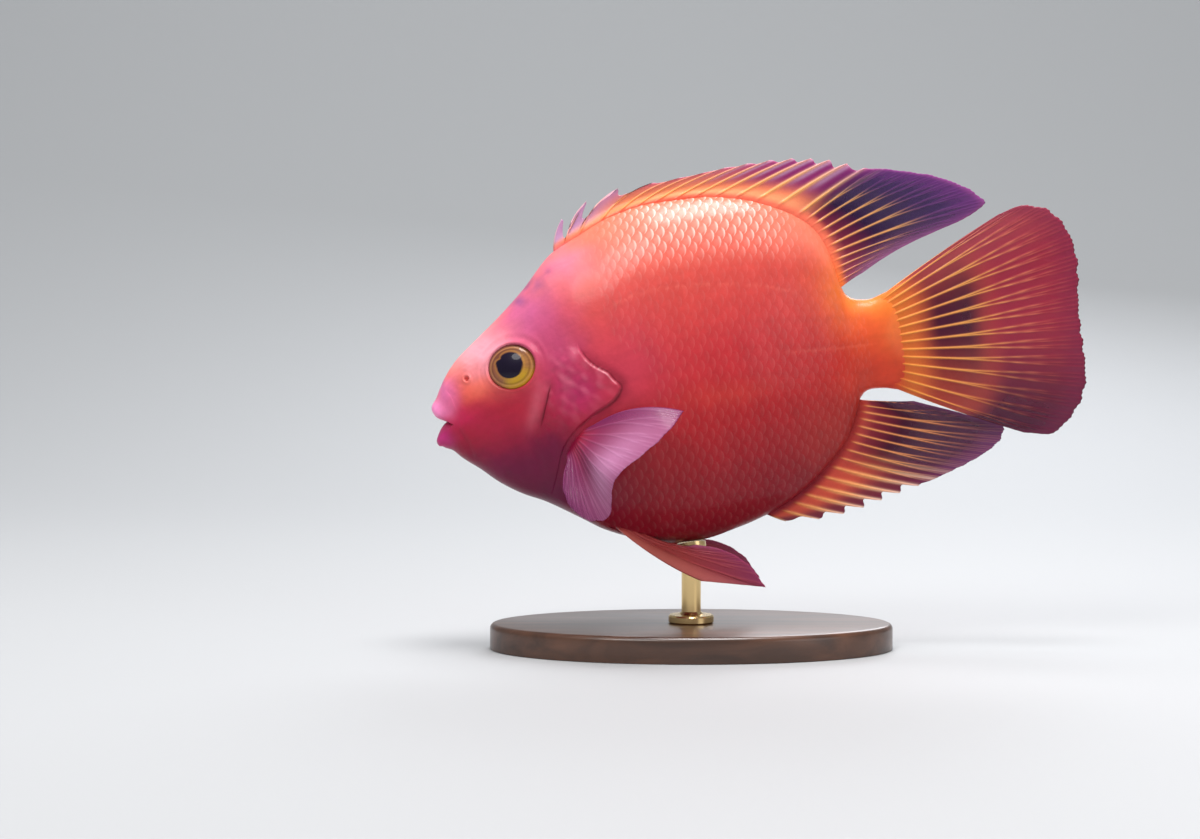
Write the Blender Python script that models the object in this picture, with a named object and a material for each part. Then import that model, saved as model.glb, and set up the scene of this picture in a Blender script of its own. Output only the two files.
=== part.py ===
"""Blood parrot cichlid, a life-size still model held up by one short rod on a flat base.

The fish is modelled level, in millimetres, in its own frame: x runs from the tip of the snout to the tail,
z is up and y runs to its right side. One empty pitches the fish nose down over its base.
"""

import math

import bmesh
import bpy
import numpy as np
from mathutils import Vector

MM = 0.001
GAP = 0.3  # between two pieces that meet
PITCH_DEG = 8.8  # nose down

# Stand
BASE_LENGTH = 124.0
BASE_WIDTH = 72.0
BASE_HEIGHT = 8.0
BASE_EDGE = 1.6
BASE_SIDES = 44
ROD_RADIUS = 3.0
ROD_X = 80.0  # from the tip of the snout to the rod, along the level base
COLLAR_RADIUS = 7.0
COLLAR_HEIGHT = 2.6
CUP_RADIUS = 4.6
CUP_HEIGHT = 5.0
CUP_LEVEL = -41.0  # from the tip of the snout
ROD_SIDES = 20
PELVIC_CLEARANCE = 12.0  # between the lowest fin tip and the base
LOWEST_FIN = -53.2  # level of the lowest fin tip, from the tip of the snout

# Body outline from the side, as (x, z)
BACK = (
    (0.4, -1.6), (1.2, 1.3), (3.0, 5.0), (5.6, 9.2), (9.6, 13.8), (16.2, 18.9), (24.0, 24.6),
    (33.3, 32.2), (43.8, 42.0), (53.6, 46.9), (63.5, 50.8), (76.3, 52.9), (91.8, 52.5), (103.8, 50.1),
    (115.5, 45.2), (121.5, 41.2), (125.0, 37.4), (127.6, 31.6), (129.0, 25.4), (130.0, 19.4),
    (131.6, 15.6), (134.5, 14.1), (138.0, 13.5), (142.5, 13.5),
)
BELLY = (
    (0.4, -8.6), (1.2, -10.6), (2.6, -11.8), (4.6, -12.8), (7.5, -15.8), (12.2, -19.8), (17.6, -24.9),
    (24.0, -29.4), (30.7, -32.9), (40.4, -39.8), (46.9, -44.3), (57.4, -49.0), (66.9, -51.7),
    (75.6, -52.1), (88.7, -49.9), (100.0, -46.6), (110.1, -41.6), (118.6, -35.1), (125.2, -28.4),
    (129.1, -21.2), (131.6, -15.6), (134.5, -14.2), (138.0, -14.3), (142.5, -14.6),
)
# Half of the width, and the level at which the body is widest
HALF_WIDTH = (
    (0.4, 1.2), (1.2, 2.9), (3.0, 4.8), (7.0, 7.2), (12.0, 9.4), (20.0, 12.4), (27.0, 14.4),
    (40.0, 18.4), (52.0, 21.2), (62.0, 22.2), (75.0, 21.6), (90.0, 19.2), (105.0, 15.2), (118.0, 10.8),
    (126.0, 8.4), (131.0, 7.3), (137.0, 6.2), (142.5, 4.6),
)
WIDEST = (
    (0.4, -4.8), (10.0, -3.6), (27.0, -2.0), (45.0, -4.0), (65.0, -6.0), (90.0, -4.0), (115.0, -1.0),
    (142.5, 0.0),
)
BACK_POWER = (
    (0.4, 2.1), (27.0, 2.0), (60.0, 1.9), (110.0, 1.85), (142.5, 2.0),
)
BELLY_POWER = (
    (0.4, 2.2), (27.0, 2.05), (60.0, 2.15), (110.0, 1.95), (142.5, 2.0),
)
BODY_RINGS = 40
RING_POINTS = 36
BEND_START = 110.0
BEND_LENGTH = 90.0
BEND_DEPTH = 7.0  # how far the tip of the tail turns to the left

# Cuts between the parts of the body, from the side
GILL_EDGE = (
    (42.6, 41.6), (45.7, 32.1), (47.1, 21.0), (47.8, 11.0), (52.4, 5.6), (56.4, 2.6), (58.9, -1.0),
    (56.2, -4.6), (49.6, -7.4), (43.6, -11.2), (38.4, -16.6), (36.0, -23.4), (33.4, -29.6), (30.2, -34.5),
)
PREOPERCLE = (
    (44.5, 13.6), (41.6, 10.8), (38.3, 4.0), (35.4, -3.6), (32.6, -10.2), (31.0, -17.5), (31.6, -26.6),
)
MOUTH_CORNER = (7.2, -5.1)
MOUTH_NOTCH = (4.3, -3.2)
JAW_LINE = ((9.2, -8.4), (10.4, -12.6), (10.6, -17.4), (9.6, -24.0))
MOUTH_FRONT = ((-6.0, -2.1), (4.3, -3.2), (0.6, -7.6), (-0.6, -9.0), (-6.0, -9.0))
TAIL_START = 131.6
# Limits well outside the fish, for outlines that take in one end of it
BEFORE_SNOUT = -10.0
PAST_TAIL = 170.0
ABOVE = 70.0
BELOW = -60.0
HALF_SPACE = 40.0
GILL_COVER_DEPTH = 9.0  # from the middle plane to the inside of a gill cover
GILL_COVER_RISE = 0.8

# Lips, nostrils and eyes
UPPER_LIP = ((7.0, 6.3, -4.3), (4.0, 4.4, -2.3), (2.4, 2.4, -1.3), (1.75, 0.0, -1.0))
LOWER_LIP = ((7.0, 6.0, -6.0), (4.4, 4.4, -7.4), (2.9, 2.5, -8.5), (2.35, 0.0, -8.9))
UPPER_LIP_RADIUS = 1.75
LOWER_LIP_RADIUS = 2.15
LIP_END_RADIUS = 0.9
NOSTRIL = (12.8, 8.3)
NOSTRIL_RADIUS = 0.75
NOSTRIL_RIM = 0.35
EYE = (27.0, 9.8)
EYE_RADIUS = 7.9
EYE_DEPTH = 5.0  # half of the eyeball from side to side
EYE_PROUD = 2.4  # how far it stands out of the head
ORBIT_RADIUS = 7.3
EYE_SEGMENTS = 20
EYE_TURN_SHARE = 0.8  # how nearly the eye faces along the skin's own normal
ORBIT_RIM = 0.9

# Fins. A ray is (base x, base z, tip x, tip z) from the side, seen from the left
DORSAL_SPINES = (
    (44.6, 42.4, 48.8, 52.1), (48.6, 44.0, 57.2, 56.4), (53.2, 46.0, 67.4, 58.7),
    (60.2, 49.2, 77.8, 58.7), (66.2, 51.2, 86.2, 58.9), (72.2, 52.3, 93.7, 59.3),
    (78.3, 52.9, 100.3, 59.8), (84.3, 52.9, 107.2, 60.0), (90.3, 52.6, 114.1, 60.0),
    (96.3, 51.7, 120.9, 59.5), (102.3, 50.4, 126.7, 58.6), (108.4, 48.4, 132.2, 57.3),
    (114.4, 45.7, 137.4, 55.4), (120.2, 42.1, 142.8, 53.2),
)
DORSAL_SOFT = (
    (122.6, 40.2, 148.4, 52.2), (124.3, 38.3, 155.7, 50.2), (125.7, 35.9, 162.6, 48.1),
    (126.8, 33.5, 168.2, 45.5), (127.6, 31.1, 173.6, 42.2), (128.2, 28.8, 178.0, 37.3),
    (128.7, 26.5, 171.0, 33.3), (129.1, 24.2, 161.0, 30.6), (129.4, 22.0, 152.0, 28.0),
    (129.7, 20.0, 144.0, 24.9), (130.1, 18.2, 137.2, 21.6),
)
ANAL_RAYS = (
    (97.0, -47.2, 102.4, -50.2), (101.2, -46.0, 112.8, -51.2), (105.2, -44.2, 120.4, -50.7),
    (108.8, -42.2, 126.8, -49.7), (112.2, -40.2, 132.6, -48.3), (115.4, -37.8, 138.5, -47.0),
    (118.4, -35.2, 144.6, -45.7), (121.0, -32.8, 150.1, -44.4), (123.2, -30.6, 155.0, -43.0),
    (125.1, -28.4, 159.7, -41.6), (126.6, -26.2, 164.2, -40.0), (127.8, -24.0, 168.4, -38.1),
    (128.8, -21.9, 172.0, -35.6), (129.6, -19.9, 173.6, -32.0), (130.3, -18.1, 162.0, -26.0),
    (131.0, -16.6, 147.0, -19.6),
)
ANAL_SPINE_COUNT = 7
TAIL_RAYS = (
    (140.0, 12.9, 180.6, 33.0), (140.0, 11.6, 187.6, 34.6), (140.0, 9.9, 194.6, 32.6),
    (140.0, 8.2, 199.0, 27.6), (140.0, 6.4, 201.2, 21.6), (140.0, 4.6, 201.8, 15.4),
    (140.0, 2.8, 201.2, 9.2), (140.0, 1.0, 200.4, 3.0), (140.0, -0.8, 200.0, -3.2),
    (140.0, -2.6, 199.9, -9.2), (140.0, -4.4, 199.8, -15.0), (140.0, -6.2, 199.2, -21.0),
    (140.0, -8.2, 196.8, -27.0), (140.0, -10.2, 192.4, -32.2), (140.0, -12.2, 186.4, -35.8),
    (140.0, -13.8, 178.6, -34.2),
)
TAIL_ROOT_REACH = 14.6
PECTORAL_BASE = ((46.0, -12.8), (40.4, -19.0))
# Each tip is (x, z, distance out from the base)
PECTORAL_TIPS = (
    (76.2, -10.6, 10.0), (72.6, -14.0, 15.0), (67.0, -18.0, 18.5), (60.6, -21.8, 20.5),
    (55.0, -25.0, 21.0), (52.0, -28.6, 20.5), (51.0, -32.8, 19.0), (50.2, -36.6, 17.0),
    (47.6, -38.8, 15.0), (44.0, -38.6, 13.5), (40.6, -36.4, 12.0), (38.0, -32.8, 10.5),
    (37.0, -28.2, 9.0),
)
PECTORAL_BOW = 4.0
PECTORAL_LIFTS = (8.0, 5.0, 2.6, 1.0)  # how far the upper rays bow upwards
PELVIC_BASE = ((50.0, 7.6), (57.6, 6.4))  # (x, y) on the belly
PELVIC_SUNK = 0.8
PELVIC_TIPS = (
    (74.0, 10.5, -63.4), (93.0, 13.5, -67.9), (89.4, 14.0, -60.9), (85.0, 13.6, -56.6),
    (80.0, 12.6, -53.8), (74.0, 11.0, -52.0),
)
PELVIC_BOW = 3.4
MEMBRANE = 0.6
MARGIN = 0.5
RIDGE = 1.15
SPINE = 1.5
RIDGE_SHARE = 0.24  # of the way to the next ray
ROOT_DEPTH = 3.2
FIRST_NOTCHES = (0.6, 0.5, 0.36)  # of the first dorsal spines' length, down to the membrane
FIRST_BOWS = (0.16, 0.20, 0.22, 0.18, 0.14, 0.11, 0.08, 0.06)  # of their length, forwards
SPINE_BOW = 0.04
SPINE_NOTCH = 0.2
SOFT_NOTCH = 0.04
FIN_SHEATH = (2.2, 4.0)  # how much thicker the root is, and how far that reaches
TAIL_SHEATH = (7.2, 13.0)
PECTORAL_SHEATH = (1.6, 3.0)
PECTORAL_RIDGE = 0.95
TAIL_BOW = 0.025

MATERIALS = {
    "skin_head": ((0.86, 0.36, 0.34), 0.34, 0.0),
    "skin_torso": ((0.78, 0.20, 0.16), 0.34, 0.0),
    "skin_tail": ((0.85, 0.33, 0.15), 0.34, 0.0),
    "skin_gill_cover": ((0.70, 0.17, 0.22), 0.32, 0.0),
    "skin_jaw": ((0.72, 0.18, 0.24), 0.32, 0.0),
    "fin_spiny": ((0.80, 0.33, 0.22), 0.36, 0.0),
    "fin_soft": ((0.30, 0.09, 0.20), 0.36, 0.0),
    "fin_tail": ((0.66, 0.20, 0.18), 0.36, 0.0),
    "fin_anal": ((0.42, 0.12, 0.16), 0.36, 0.0),
    "fin_pectoral": ((0.72, 0.36, 0.56), 0.36, 0.0),
    "fin_pelvic": ((0.55, 0.15, 0.22), 0.36, 0.0),
    "eye_glass": ((0.20, 0.09, 0.03), 0.06, 0.0),
    "base_wood": ((0.10, 0.045, 0.022), 0.38, 0.0),
    "rod_brass": ((0.76, 0.56, 0.26), 0.24, 1.0),
}

SLOTS = {
    "head": "skin_head",
    "lower_jaw": "skin_jaw",
    "gill_cover_left": "skin_gill_cover",
    "gill_cover_right": "skin_gill_cover",
    "torso": "skin_torso",
    "tail": "skin_tail",
    "dorsal_fin_spiny": "fin_spiny",
    "dorsal_fin_soft": "fin_soft",
    "caudal_fin": "fin_tail",
    "anal_fin": "fin_anal",
    "pectoral_fin_left": "fin_pectoral",
    "pectoral_fin_right": "fin_pectoral",
    "pelvic_fin_left": "fin_pelvic",
    "pelvic_fin_right": "fin_pelvic",
    "eye_left": "eye_glass",
    "eye_right": "eye_glass",
    "stand_base": "base_wood",
    "stand_rod": "rod_brass",
}


def clear_scene():
    for item in list(bpy.data.objects):
        bpy.data.objects.remove(item)


def new_collection(name, hidden=False):
    collection = bpy.data.collections.new(name)
    collection.hide_render = hidden
    bpy.context.scene.collection.children.link(collection)
    return collection


def make_material(name):
    colour, roughness, metallic = MATERIALS[name]
    material = bpy.data.materials.new(name)
    material.use_nodes = True
    shader = material.node_tree.nodes["Principled BSDF"]
    shader.inputs["Base Color"].default_value = (*colour, 1.0)
    shader.inputs["Roughness"].default_value = roughness
    shader.inputs["Metallic"].default_value = metallic
    return material


def smooth_at(points, x):
    """The value at x of a smooth curve through (x, value) points that makes no hump of its own."""
    xs = np.array([p[0] for p in points])
    values = np.array([p[1] for p in points])
    steps = np.diff(xs)
    slopes = np.diff(values) / steps
    tangents = np.empty(len(xs))
    tangents[0] = slopes[0]
    tangents[-1] = slopes[-1]
    for i in range(1, len(xs) - 1):
        before, after = slopes[i - 1], slopes[i]
        if before * after <= 0:
            tangents[i] = 0.0
            continue
        near, far = 2 * steps[i] + steps[i - 1], steps[i] + 2 * steps[i - 1]
        tangents[i] = (near + far) / (near / before + far / after)
    x = min(max(x, xs[0]), xs[-1])
    i = min(int(np.searchsorted(xs, x, side="right")) - 1, len(steps) - 1)
    t = (x - xs[i]) / steps[i]
    return float(
        values[i] * (1 + 2 * t) * (1 - t) ** 2
        + tangents[i] * steps[i] * t * (1 - t) ** 2
        + values[i + 1] * t * t * (3 - 2 * t)
        + tangents[i + 1] * steps[i] * t * t * (t - 1)
    )


def bend(x):
    """The sideways shift of the tail at x."""
    return -BEND_DEPTH * (max(x - BEND_START, 0.0) / BEND_LENGTH) ** 2


def section(x):
    """(top, bottom, half width, widest level, upper power, lower power) of the body at x."""
    curves = (BACK, BELLY, HALF_WIDTH, WIDEST, BACK_POWER, BELLY_POWER)
    return [smooth_at(points, x) for points in curves]


def side_at(x, z):
    """Half of the body's width at (x, z)."""
    top, bottom, half, widest, upper, lower = section(x)
    reach, power = (top - widest, upper) if z > widest else (widest - bottom, lower)
    share = min(abs(z - widest) / reach, 1.0)
    return half * (1 - share**power) ** (1 / power)


def belly_at(x, y):
    """Level of the underside of the body at (x, y)."""
    _, bottom, half, widest, _, lower = section(x)
    return widest - (widest - bottom) * (1 - abs(y / half) ** lower) ** (1 / lower)


def signed_power(value, power):
    return math.copysign(abs(value) ** power, value)


def ring_points(x):
    top, bottom, half, widest, upper, lower = section(x)
    points = []
    for i in range(RING_POINTS):
        angle = 2 * math.pi * i / RING_POINTS
        across, along = math.sin(angle), math.cos(angle)
        power, reach = (upper, top - widest) if along > 0 else (lower, widest - bottom)
        y = half * signed_power(across, 2 / power)
        z = widest + reach * signed_power(along, 2 / power)
        points.append((x, y + bend(x), z))
    return points


def ring_stations():
    """Stations along the body, close together at the snout and where the back falls to the tail."""
    marks = ((0.0, BACK[0][0]), (0.14, 5.0), (0.28, 20.0), (0.66, 108.0), (0.92, 133.0), (1.0, BACK[-1][0]))
    return [smooth_at(marks, i / (BODY_RINGS - 1)) for i in range(BODY_RINGS)]


def mesh_object(name, bm, collection):
    bmesh.ops.recalc_face_normals(bm, faces=bm.faces)
    mesh = bpy.data.meshes.new(name)
    bm.to_mesh(mesh)
    bm.free()
    item = bpy.data.objects.new(name, mesh)
    collection.objects.link(item)
    return item


def loft(name, rings, collection):
    """A closed surface through rings of as many points each, the first and last ring capped."""
    bm = bmesh.new()
    rows = [[bm.verts.new(Vector(point) * MM) for point in ring] for ring in rings]
    for row, after in zip(rows, rows[1:]):
        for i, vert in enumerate(row):
            j = (i + 1) % len(row)
            bm.faces.new((vert, row[j], after[j], after[i]))
    bm.faces.new(reversed(rows[0]))
    bm.faces.new(rows[-1])
    return mesh_object(name, bm, collection)


def body_loft(name, collection, swell=0.0):
    item = loft(name, [ring_points(x) for x in ring_stations()], collection)
    if swell:
        displace = item.modifiers.new("swell", "DISPLACE")
        displace.strength = swell * MM
        displace.mid_level = 0.0
        apply_modifiers(item)
    return item


def apply_modifiers(item):
    """The object's evaluated mesh becomes its own."""
    bpy.context.view_layer.update()
    graph = bpy.context.evaluated_depsgraph_get()
    mesh = bpy.data.meshes.new_from_object(item.evaluated_get(graph))
    old = item.data
    item.modifiers.clear()
    item.data = mesh
    bpy.data.meshes.remove(old)


def boolean(item, operation, other):
    modifier = item.modifiers.new(operation.lower(), "BOOLEAN")
    modifier.operation = operation
    modifier.solver = "MANIFOLD"
    modifier.object = other
    apply_modifiers(item)


def keep_largest(item):
    """Drops every closed surface of the mesh but the one with most faces."""
    bm = bmesh.new()
    bm.from_mesh(item.data)
    left = set(bm.verts)
    groups = []
    while left:
        group = {left.pop()}
        front = list(group)
        while front:
            vert = front.pop()
            for edge in vert.link_edges:
                other = edge.other_vert(vert)
                if other in left:
                    left.discard(other)
                    group.add(other)
                    front.append(other)
        groups.append(group)
    groups.sort(key=len)
    for group in groups[:-1]:
        bmesh.ops.delete(bm, geom=list(group), context="VERTS")
    bm.to_mesh(item.data)
    bm.free()


def prism(name, outline, near, far, collection):
    """A side outline of (x, z) points drawn through from y = near to y = far."""
    bm = bmesh.new()
    face = bm.faces.new([bm.verts.new((x * MM, near * MM, z * MM)) for x, z in outline])
    made = bmesh.ops.extrude_face_region(bm, geom=[face])["geom"]
    moved = [v for v in made if isinstance(v, bmesh.types.BMVert)]
    bmesh.ops.translate(bm, verts=moved, vec=(0, (far - near) * MM, 0))
    return mesh_object(name, bm, collection)


def offset_outline(outline, distance):
    """The closed outline moved outwards by the distance, inwards where it is negative."""
    count = len(outline)
    area = sum(outline[i - 1][0] * outline[i][1] - outline[i][0] * outline[i - 1][1] for i in range(count))
    turn = 1.0 if area > 0 else -1.0
    moved = []
    for i, (x, z) in enumerate(outline):
        before, after = outline[i - 1], outline[(i + 1) % count]
        first = Vector((x - before[0], z - before[1])).normalized()
        second = Vector((after[0] - x, after[1] - z)).normalized()
        normals = [Vector((d.y, -d.x)) * turn for d in (first, second)]
        middle = (normals[0] + normals[1]).normalized()
        reach = distance / max(middle.dot(normals[0]), 0.4)
        moved.append((x + middle.x * reach, z + middle.y * reach))
    return moved


def ellipsoid(name, centre, radii, collection, turn=(0.0, 0.0, 0.0), segments=24):
    bm = bmesh.new()
    bmesh.ops.create_uvsphere(bm, u_segments=segments, v_segments=segments // 2, radius=1.0)
    bmesh.ops.scale(bm, verts=bm.verts, vec=Vector(radii) * MM)
    item = mesh_object(name, bm, collection)
    item.rotation_euler = turn
    item.location = Vector(centre) * MM
    bpy.context.view_layer.update()
    item.data.transform(item.matrix_basis)
    item.matrix_basis.identity()
    return item


def tube(name, path, radii, collection, sides=10, rows=17):
    """A round bar along a smooth path, its radius following the path."""
    marks = [i / (len(path) - 1) for i in range(len(path))]
    curves = [[(m, p[axis]) for m, p in zip(marks, path)] for axis in range(3)]
    widths = list(zip(marks, radii))
    centres = [Vector([smooth_at(c, i / (rows - 1)) for c in curves]) for i in range(rows)]
    rings = []
    for i, centre in enumerate(centres):
        along = (centres[min(i + 1, rows - 1)] - centres[max(i - 1, 0)]).normalized()
        out = along.cross(Vector((0, 0, 1))).normalized()
        up = out.cross(along)
        radius = smooth_at(widths, i / (rows - 1))
        angles = [2 * math.pi * j / sides for j in range(sides)]
        rings.append([centre + (out * math.cos(a) + up * math.sin(a)) * radius for a in angles])
    return loft(name, rings, collection)


def lip(name, half_path, radius, collection):
    """A lip running from one corner of the mouth round to the other."""
    path = list(half_path) + [(x, -y, z) for x, y, z in reversed(half_path[:-1])]
    reach = len(half_path) - 1
    shares = [abs(i - reach) / reach for i in range(len(path))]
    radii = [radius + (LIP_END_RADIUS - radius) * share for share in shares]
    return tube(name, path, radii, collection)


def eye_turn(side):
    """The turn that faces the eye along the skin around it."""
    x, z = EYE
    reach = EYE_RADIUS
    yaw = math.atan((side_at(x + reach, z) - side_at(x - reach, z)) / (2 * reach))
    roll = math.atan((side_at(x, z - reach) - side_at(x, z + reach)) / (2 * reach))
    return (roll * side * EYE_TURN_SHARE, 0.0, yaw * side * EYE_TURN_SHARE)


def eye_centre(side):
    out = side_at(*EYE) + EYE_PROUD - EYE_DEPTH
    return (EYE[0], side * out, EYE[1])


def make_eye(name, side, collection, swell=0.0):
    radii = (EYE_RADIUS + swell, EYE_DEPTH + swell, EYE_RADIUS + swell)
    return ellipsoid(name, eye_centre(side), radii, collection, eye_turn(side), EYE_SEGMENTS)


def ring_rim(name, centre, turn, major, minor, collection, segments=18, sides=6):
    """A torus that faces sideways."""
    rings = []
    for i in range(segments):
        angle = 2 * math.pi * i / segments
        out = Vector((math.cos(angle), 0, math.sin(angle)))
        angles = [2 * math.pi * j / sides for j in range(sides)]
        ring = [out * (major + minor * math.cos(a)) + Vector((0, minor * math.sin(a), 0)) for a in angles]
        rings.append(ring)
    bm = bmesh.new()
    rows = [[bm.verts.new(point * MM) for point in ring] for ring in rings]
    for i, row in enumerate(rows):
        after = rows[(i + 1) % segments]
        for j, vert in enumerate(row):
            k = (j + 1) % len(row)
            bm.faces.new((vert, row[k], after[k], after[j]))
    item = mesh_object(name, bm, collection)
    item.rotation_euler = turn
    item.location = Vector(centre) * MM
    bpy.context.view_layer.update()
    item.data.transform(item.matrix_basis)
    item.matrix_basis.identity()
    return item


def rounded(line, rounds=2):
    """The open line with its corners cut, twice as many points each round and its ends kept."""
    for _ in range(rounds):
        cut = [line[0]]
        for (x, z), (next_x, next_z) in zip(line, line[1:]):
            cut.append((0.75 * x + 0.25 * next_x, 0.75 * z + 0.25 * next_z))
            cut.append((0.25 * x + 0.75 * next_x, 0.25 * z + 0.75 * next_z))
        line = cut[:1] + cut[2:-2] + [line[-1]]
    return line


def jaw_outline():
    top, bottom = (BEFORE_SNOUT, MOUTH_NOTCH[1] + 1.3), (BEFORE_SNOUT, JAW_LINE[-1][1])
    return [top, *rounded([MOUTH_NOTCH, MOUTH_CORNER, *JAW_LINE], 1), bottom]


def gill_cover_outline():
    rear = [p for p in rounded(GILL_EDGE) if PREOPERCLE[-1][1] < p[1] < PREOPERCLE[0][1]]
    return [*rounded(PREOPERCLE, 1)[::-1], *rear]


def add_orbit(head, side, label, cutters):
    """A raised rim around the eye, and the socket that the eye lies in."""
    rim = ring_rim(f"orbit_{label}", rim_centre(side), eye_turn(side), ORBIT_RADIUS, ORBIT_RIM, cutters)
    boolean(head, "UNION", rim)
    boolean(head, "DIFFERENCE", make_eye(f"socket_{label}", side, cutters, GAP))


def add_nostril(head, side, label, cutters):
    x, z = NOSTRIL
    skin = side_at(x, z)
    rim_radius = NOSTRIL_RADIUS + NOSTRIL_RIM
    centre = (x, side * (skin - 0.5), z)
    rim = ellipsoid(f"nostril_rim_{label}", centre, [rim_radius] * 3, cutters, segments=10)
    boolean(head, "UNION", rim)
    centre = (x, side * (skin + 0.2), z)
    pit = ellipsoid(f"nostril_{label}", centre, [NOSTRIL_RADIUS] * 3, cutters, segments=10)
    boolean(head, "DIFFERENCE", pit)


def add_gill_cover(head, side, label, parts, cutters):
    """A thick raised plate, and the pocket in the head that it lies in."""
    outline = gill_cover_outline()
    near, far = side * GILL_COVER_DEPTH, side * HALF_SPACE
    cover = body_loft(f"gill_cover_{label}", parts, GILL_COVER_RISE)
    shape = prism(f"cover_{label}", offset_outline(outline, -GAP / 2), near, far, cutters)
    boolean(cover, "INTERSECT", shape)
    keep_largest(cover)
    pocket = prism(f"pocket_{label}", offset_outline(outline, GAP / 2), near - side * GAP, far, cutters)
    boolean(head, "DIFFERENCE", pocket)


def side_cut(item, operation, outline, cutters):
    """Cuts the whole width of the item by a side outline."""
    boolean(item, operation, prism(f"{item.name}_cut", outline, -HALF_SPACE, HALF_SPACE, cutters))


def make_flesh(parts, cutters):
    """Head, lower jaw, gill covers, torso and tail, all cut from one body."""
    gill_edge = rounded(GILL_EDGE)
    over, under = (gill_edge[0][0], ABOVE), (gill_edge[-1][0], BELOW)
    ahead = [(BEFORE_SNOUT, ABOVE), over, *gill_edge, under, (BEFORE_SNOUT, BELOW)]
    behind = [(PAST_TAIL, ABOVE), over, *gill_edge, under, (PAST_TAIL, BELOW)]
    torso = body_loft("torso", parts)
    side_cut(torso, "INTERSECT", offset_outline(behind, -GAP / 2), cutters)
    tail = body_loft("tail", parts)
    after = [(TAIL_START, BELOW), (PAST_TAIL, BELOW), (PAST_TAIL, ABOVE), (TAIL_START, ABOVE)]
    side_cut(torso, "DIFFERENCE", offset_outline(after, GAP / 2), cutters)
    side_cut(tail, "INTERSECT", offset_outline(after, -GAP / 2), cutters)

    head = body_loft("head", parts)
    side_cut(head, "INTERSECT", offset_outline(ahead, -GAP / 2), cutters)
    jaw = body_loft("lower_jaw", parts)
    boolean(jaw, "UNION", lip("lower_lip", LOWER_LIP, LOWER_LIP_RADIUS, cutters))
    side_cut(jaw, "INTERSECT", offset_outline(jaw_outline(), -GAP / 2), cutters)
    side_cut(jaw, "DIFFERENCE", MOUTH_FRONT, cutters)
    boolean(head, "UNION", lip("upper_lip", UPPER_LIP, UPPER_LIP_RADIUS, cutters))
    side_cut(head, "DIFFERENCE", offset_outline(jaw_outline(), GAP / 2), cutters)

    for side, label in ((-1, "left"), (1, "right")):
        add_orbit(head, side, label, cutters)
        add_nostril(head, side, label, cutters)
        add_gill_cover(head, side, label, parts, cutters)
    for item in (head, jaw, torso, tail):
        keep_largest(item)


def rim_centre(side):
    return (EYE[0], side * (side_at(*EYE) - 0.2), EYE[1])


def bezier(ray, u):
    """A point of the ray. Below 0 it goes straight on into the body."""
    base, middle, tip = ray
    if u < 0:
        return base + (middle - base).normalized() * u
    return base * (1 - u) ** 2 + middle * 2 * u * (1 - u) + tip * u * u


def fin_grid(rays, shares, notch):
    """Columns of points, three to each ray: its two flanks and its ridge.

    Between rays the margin is cut back by the notch, a share of the ray's length.
    """
    columns = []
    for i, ray in enumerate(rays):
        for side in (-1, 0, 1):
            j = i + side
            inside = 0 <= j < len(rays)
            share = RIDGE_SHARE * abs(side)
            reach = 1 - notch[i] * (1 if side else 0)
            column = []
            for u in shares:
                here = bezier(ray, u if u < 0 else u * reach)
                if inside:
                    there = bezier(rays[j], u if u < 0 else u * reach)
                else:
                    k = i - side
                    there = here * 2 - bezier(rays[k], u if u < 0 else u * reach)
                column.append(here.lerp(there, share))
            columns.append(column)
    return columns


def grid_normals(columns):
    last, end = len(columns) - 1, len(columns[0]) - 1
    normals = []
    for i, column in enumerate(columns):
        row = []
        for j in range(len(column)):
            across = columns[min(i + 1, last)][j] - columns[max(i - 1, 0)][j]
            along = column[min(j + 1, end)] - column[max(j - 1, 0)]
            row.append(across.cross(along).normalized())
        normals.append(row)
    return normals


def make_fin(name, rays, collection, shares, ridges, notch, sheath, swell=None):
    """A fin of rays raised on both faces of a membrane.

    The sheath is (how much thicker the root is, how far that reaches), and swell is each ray's share of it.
    """
    columns = fin_grid(rays, shares, notch)
    swell = swell or [1.0] * len(rays)
    normals = grid_normals(columns)
    bm = bmesh.new()
    faces = []
    for sign in (1, -1):
        rows = []
        for i, column in enumerate(columns):
            ridge = ridges[i // 3] if i % 3 == 1 else MEMBRANE
            base = bezier(rays[i // 3], 0.0)
            verts = []
            for j, (point, normal) in enumerate(zip(column, normals[i])):
                u = max(shares[j], 0.0)
                thick = ridge + (MARGIN - ridge) * u**1.5
                reach = (point - base).length if shares[j] > 0 else 0.0
                thick += sheath[0] * swell[i // 3] * math.exp(-((reach / sheath[1]) ** 2))
                verts.append(bm.verts.new((point + normal * sign * thick / 2) * MM))
            rows.append(verts)
        faces.append(rows)
    for rows in faces:
        for first, second in zip(rows, rows[1:]):
            for j in range(len(first) - 1):
                bm.faces.new((first[j], second[j], second[j + 1]))
                bm.faces.new((first[j], second[j + 1], first[j + 1]))
    near, far = faces
    last, end = len(near) - 1, len(shares) - 1
    rim = [(i, 0) for i in range(last)] + [(last, j) for j in range(end)]
    rim += [(i, end) for i in range(last, 0, -1)] + [(0, j) for j in range(end, 0, -1)]
    for (i, j), (k, m) in zip(rim, rim[1:] + rim[:1]):
        bm.faces.new((near[i][j], far[i][j], far[k][m]))
        bm.faces.new((near[i][j], far[k][m], near[k][m]))
    return mesh_object(name, bm, collection)


def median_ray(ray, bow, sweep):
    """A ray of a fin in the middle plane, bowed upwards by a share of its length and swung aside by the sweep."""
    base = Vector((ray[0], bend(ray[0]), ray[1]))
    tip = Vector((ray[2], sweep(ray[2]), ray[3]))
    along = tip - base
    middle = (base + tip) / 2 + Vector((-along.z, 0, along.x)) * bow
    middle.y = sweep((base.x + tip.x) / 2)
    return (base, middle, tip)


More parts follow.
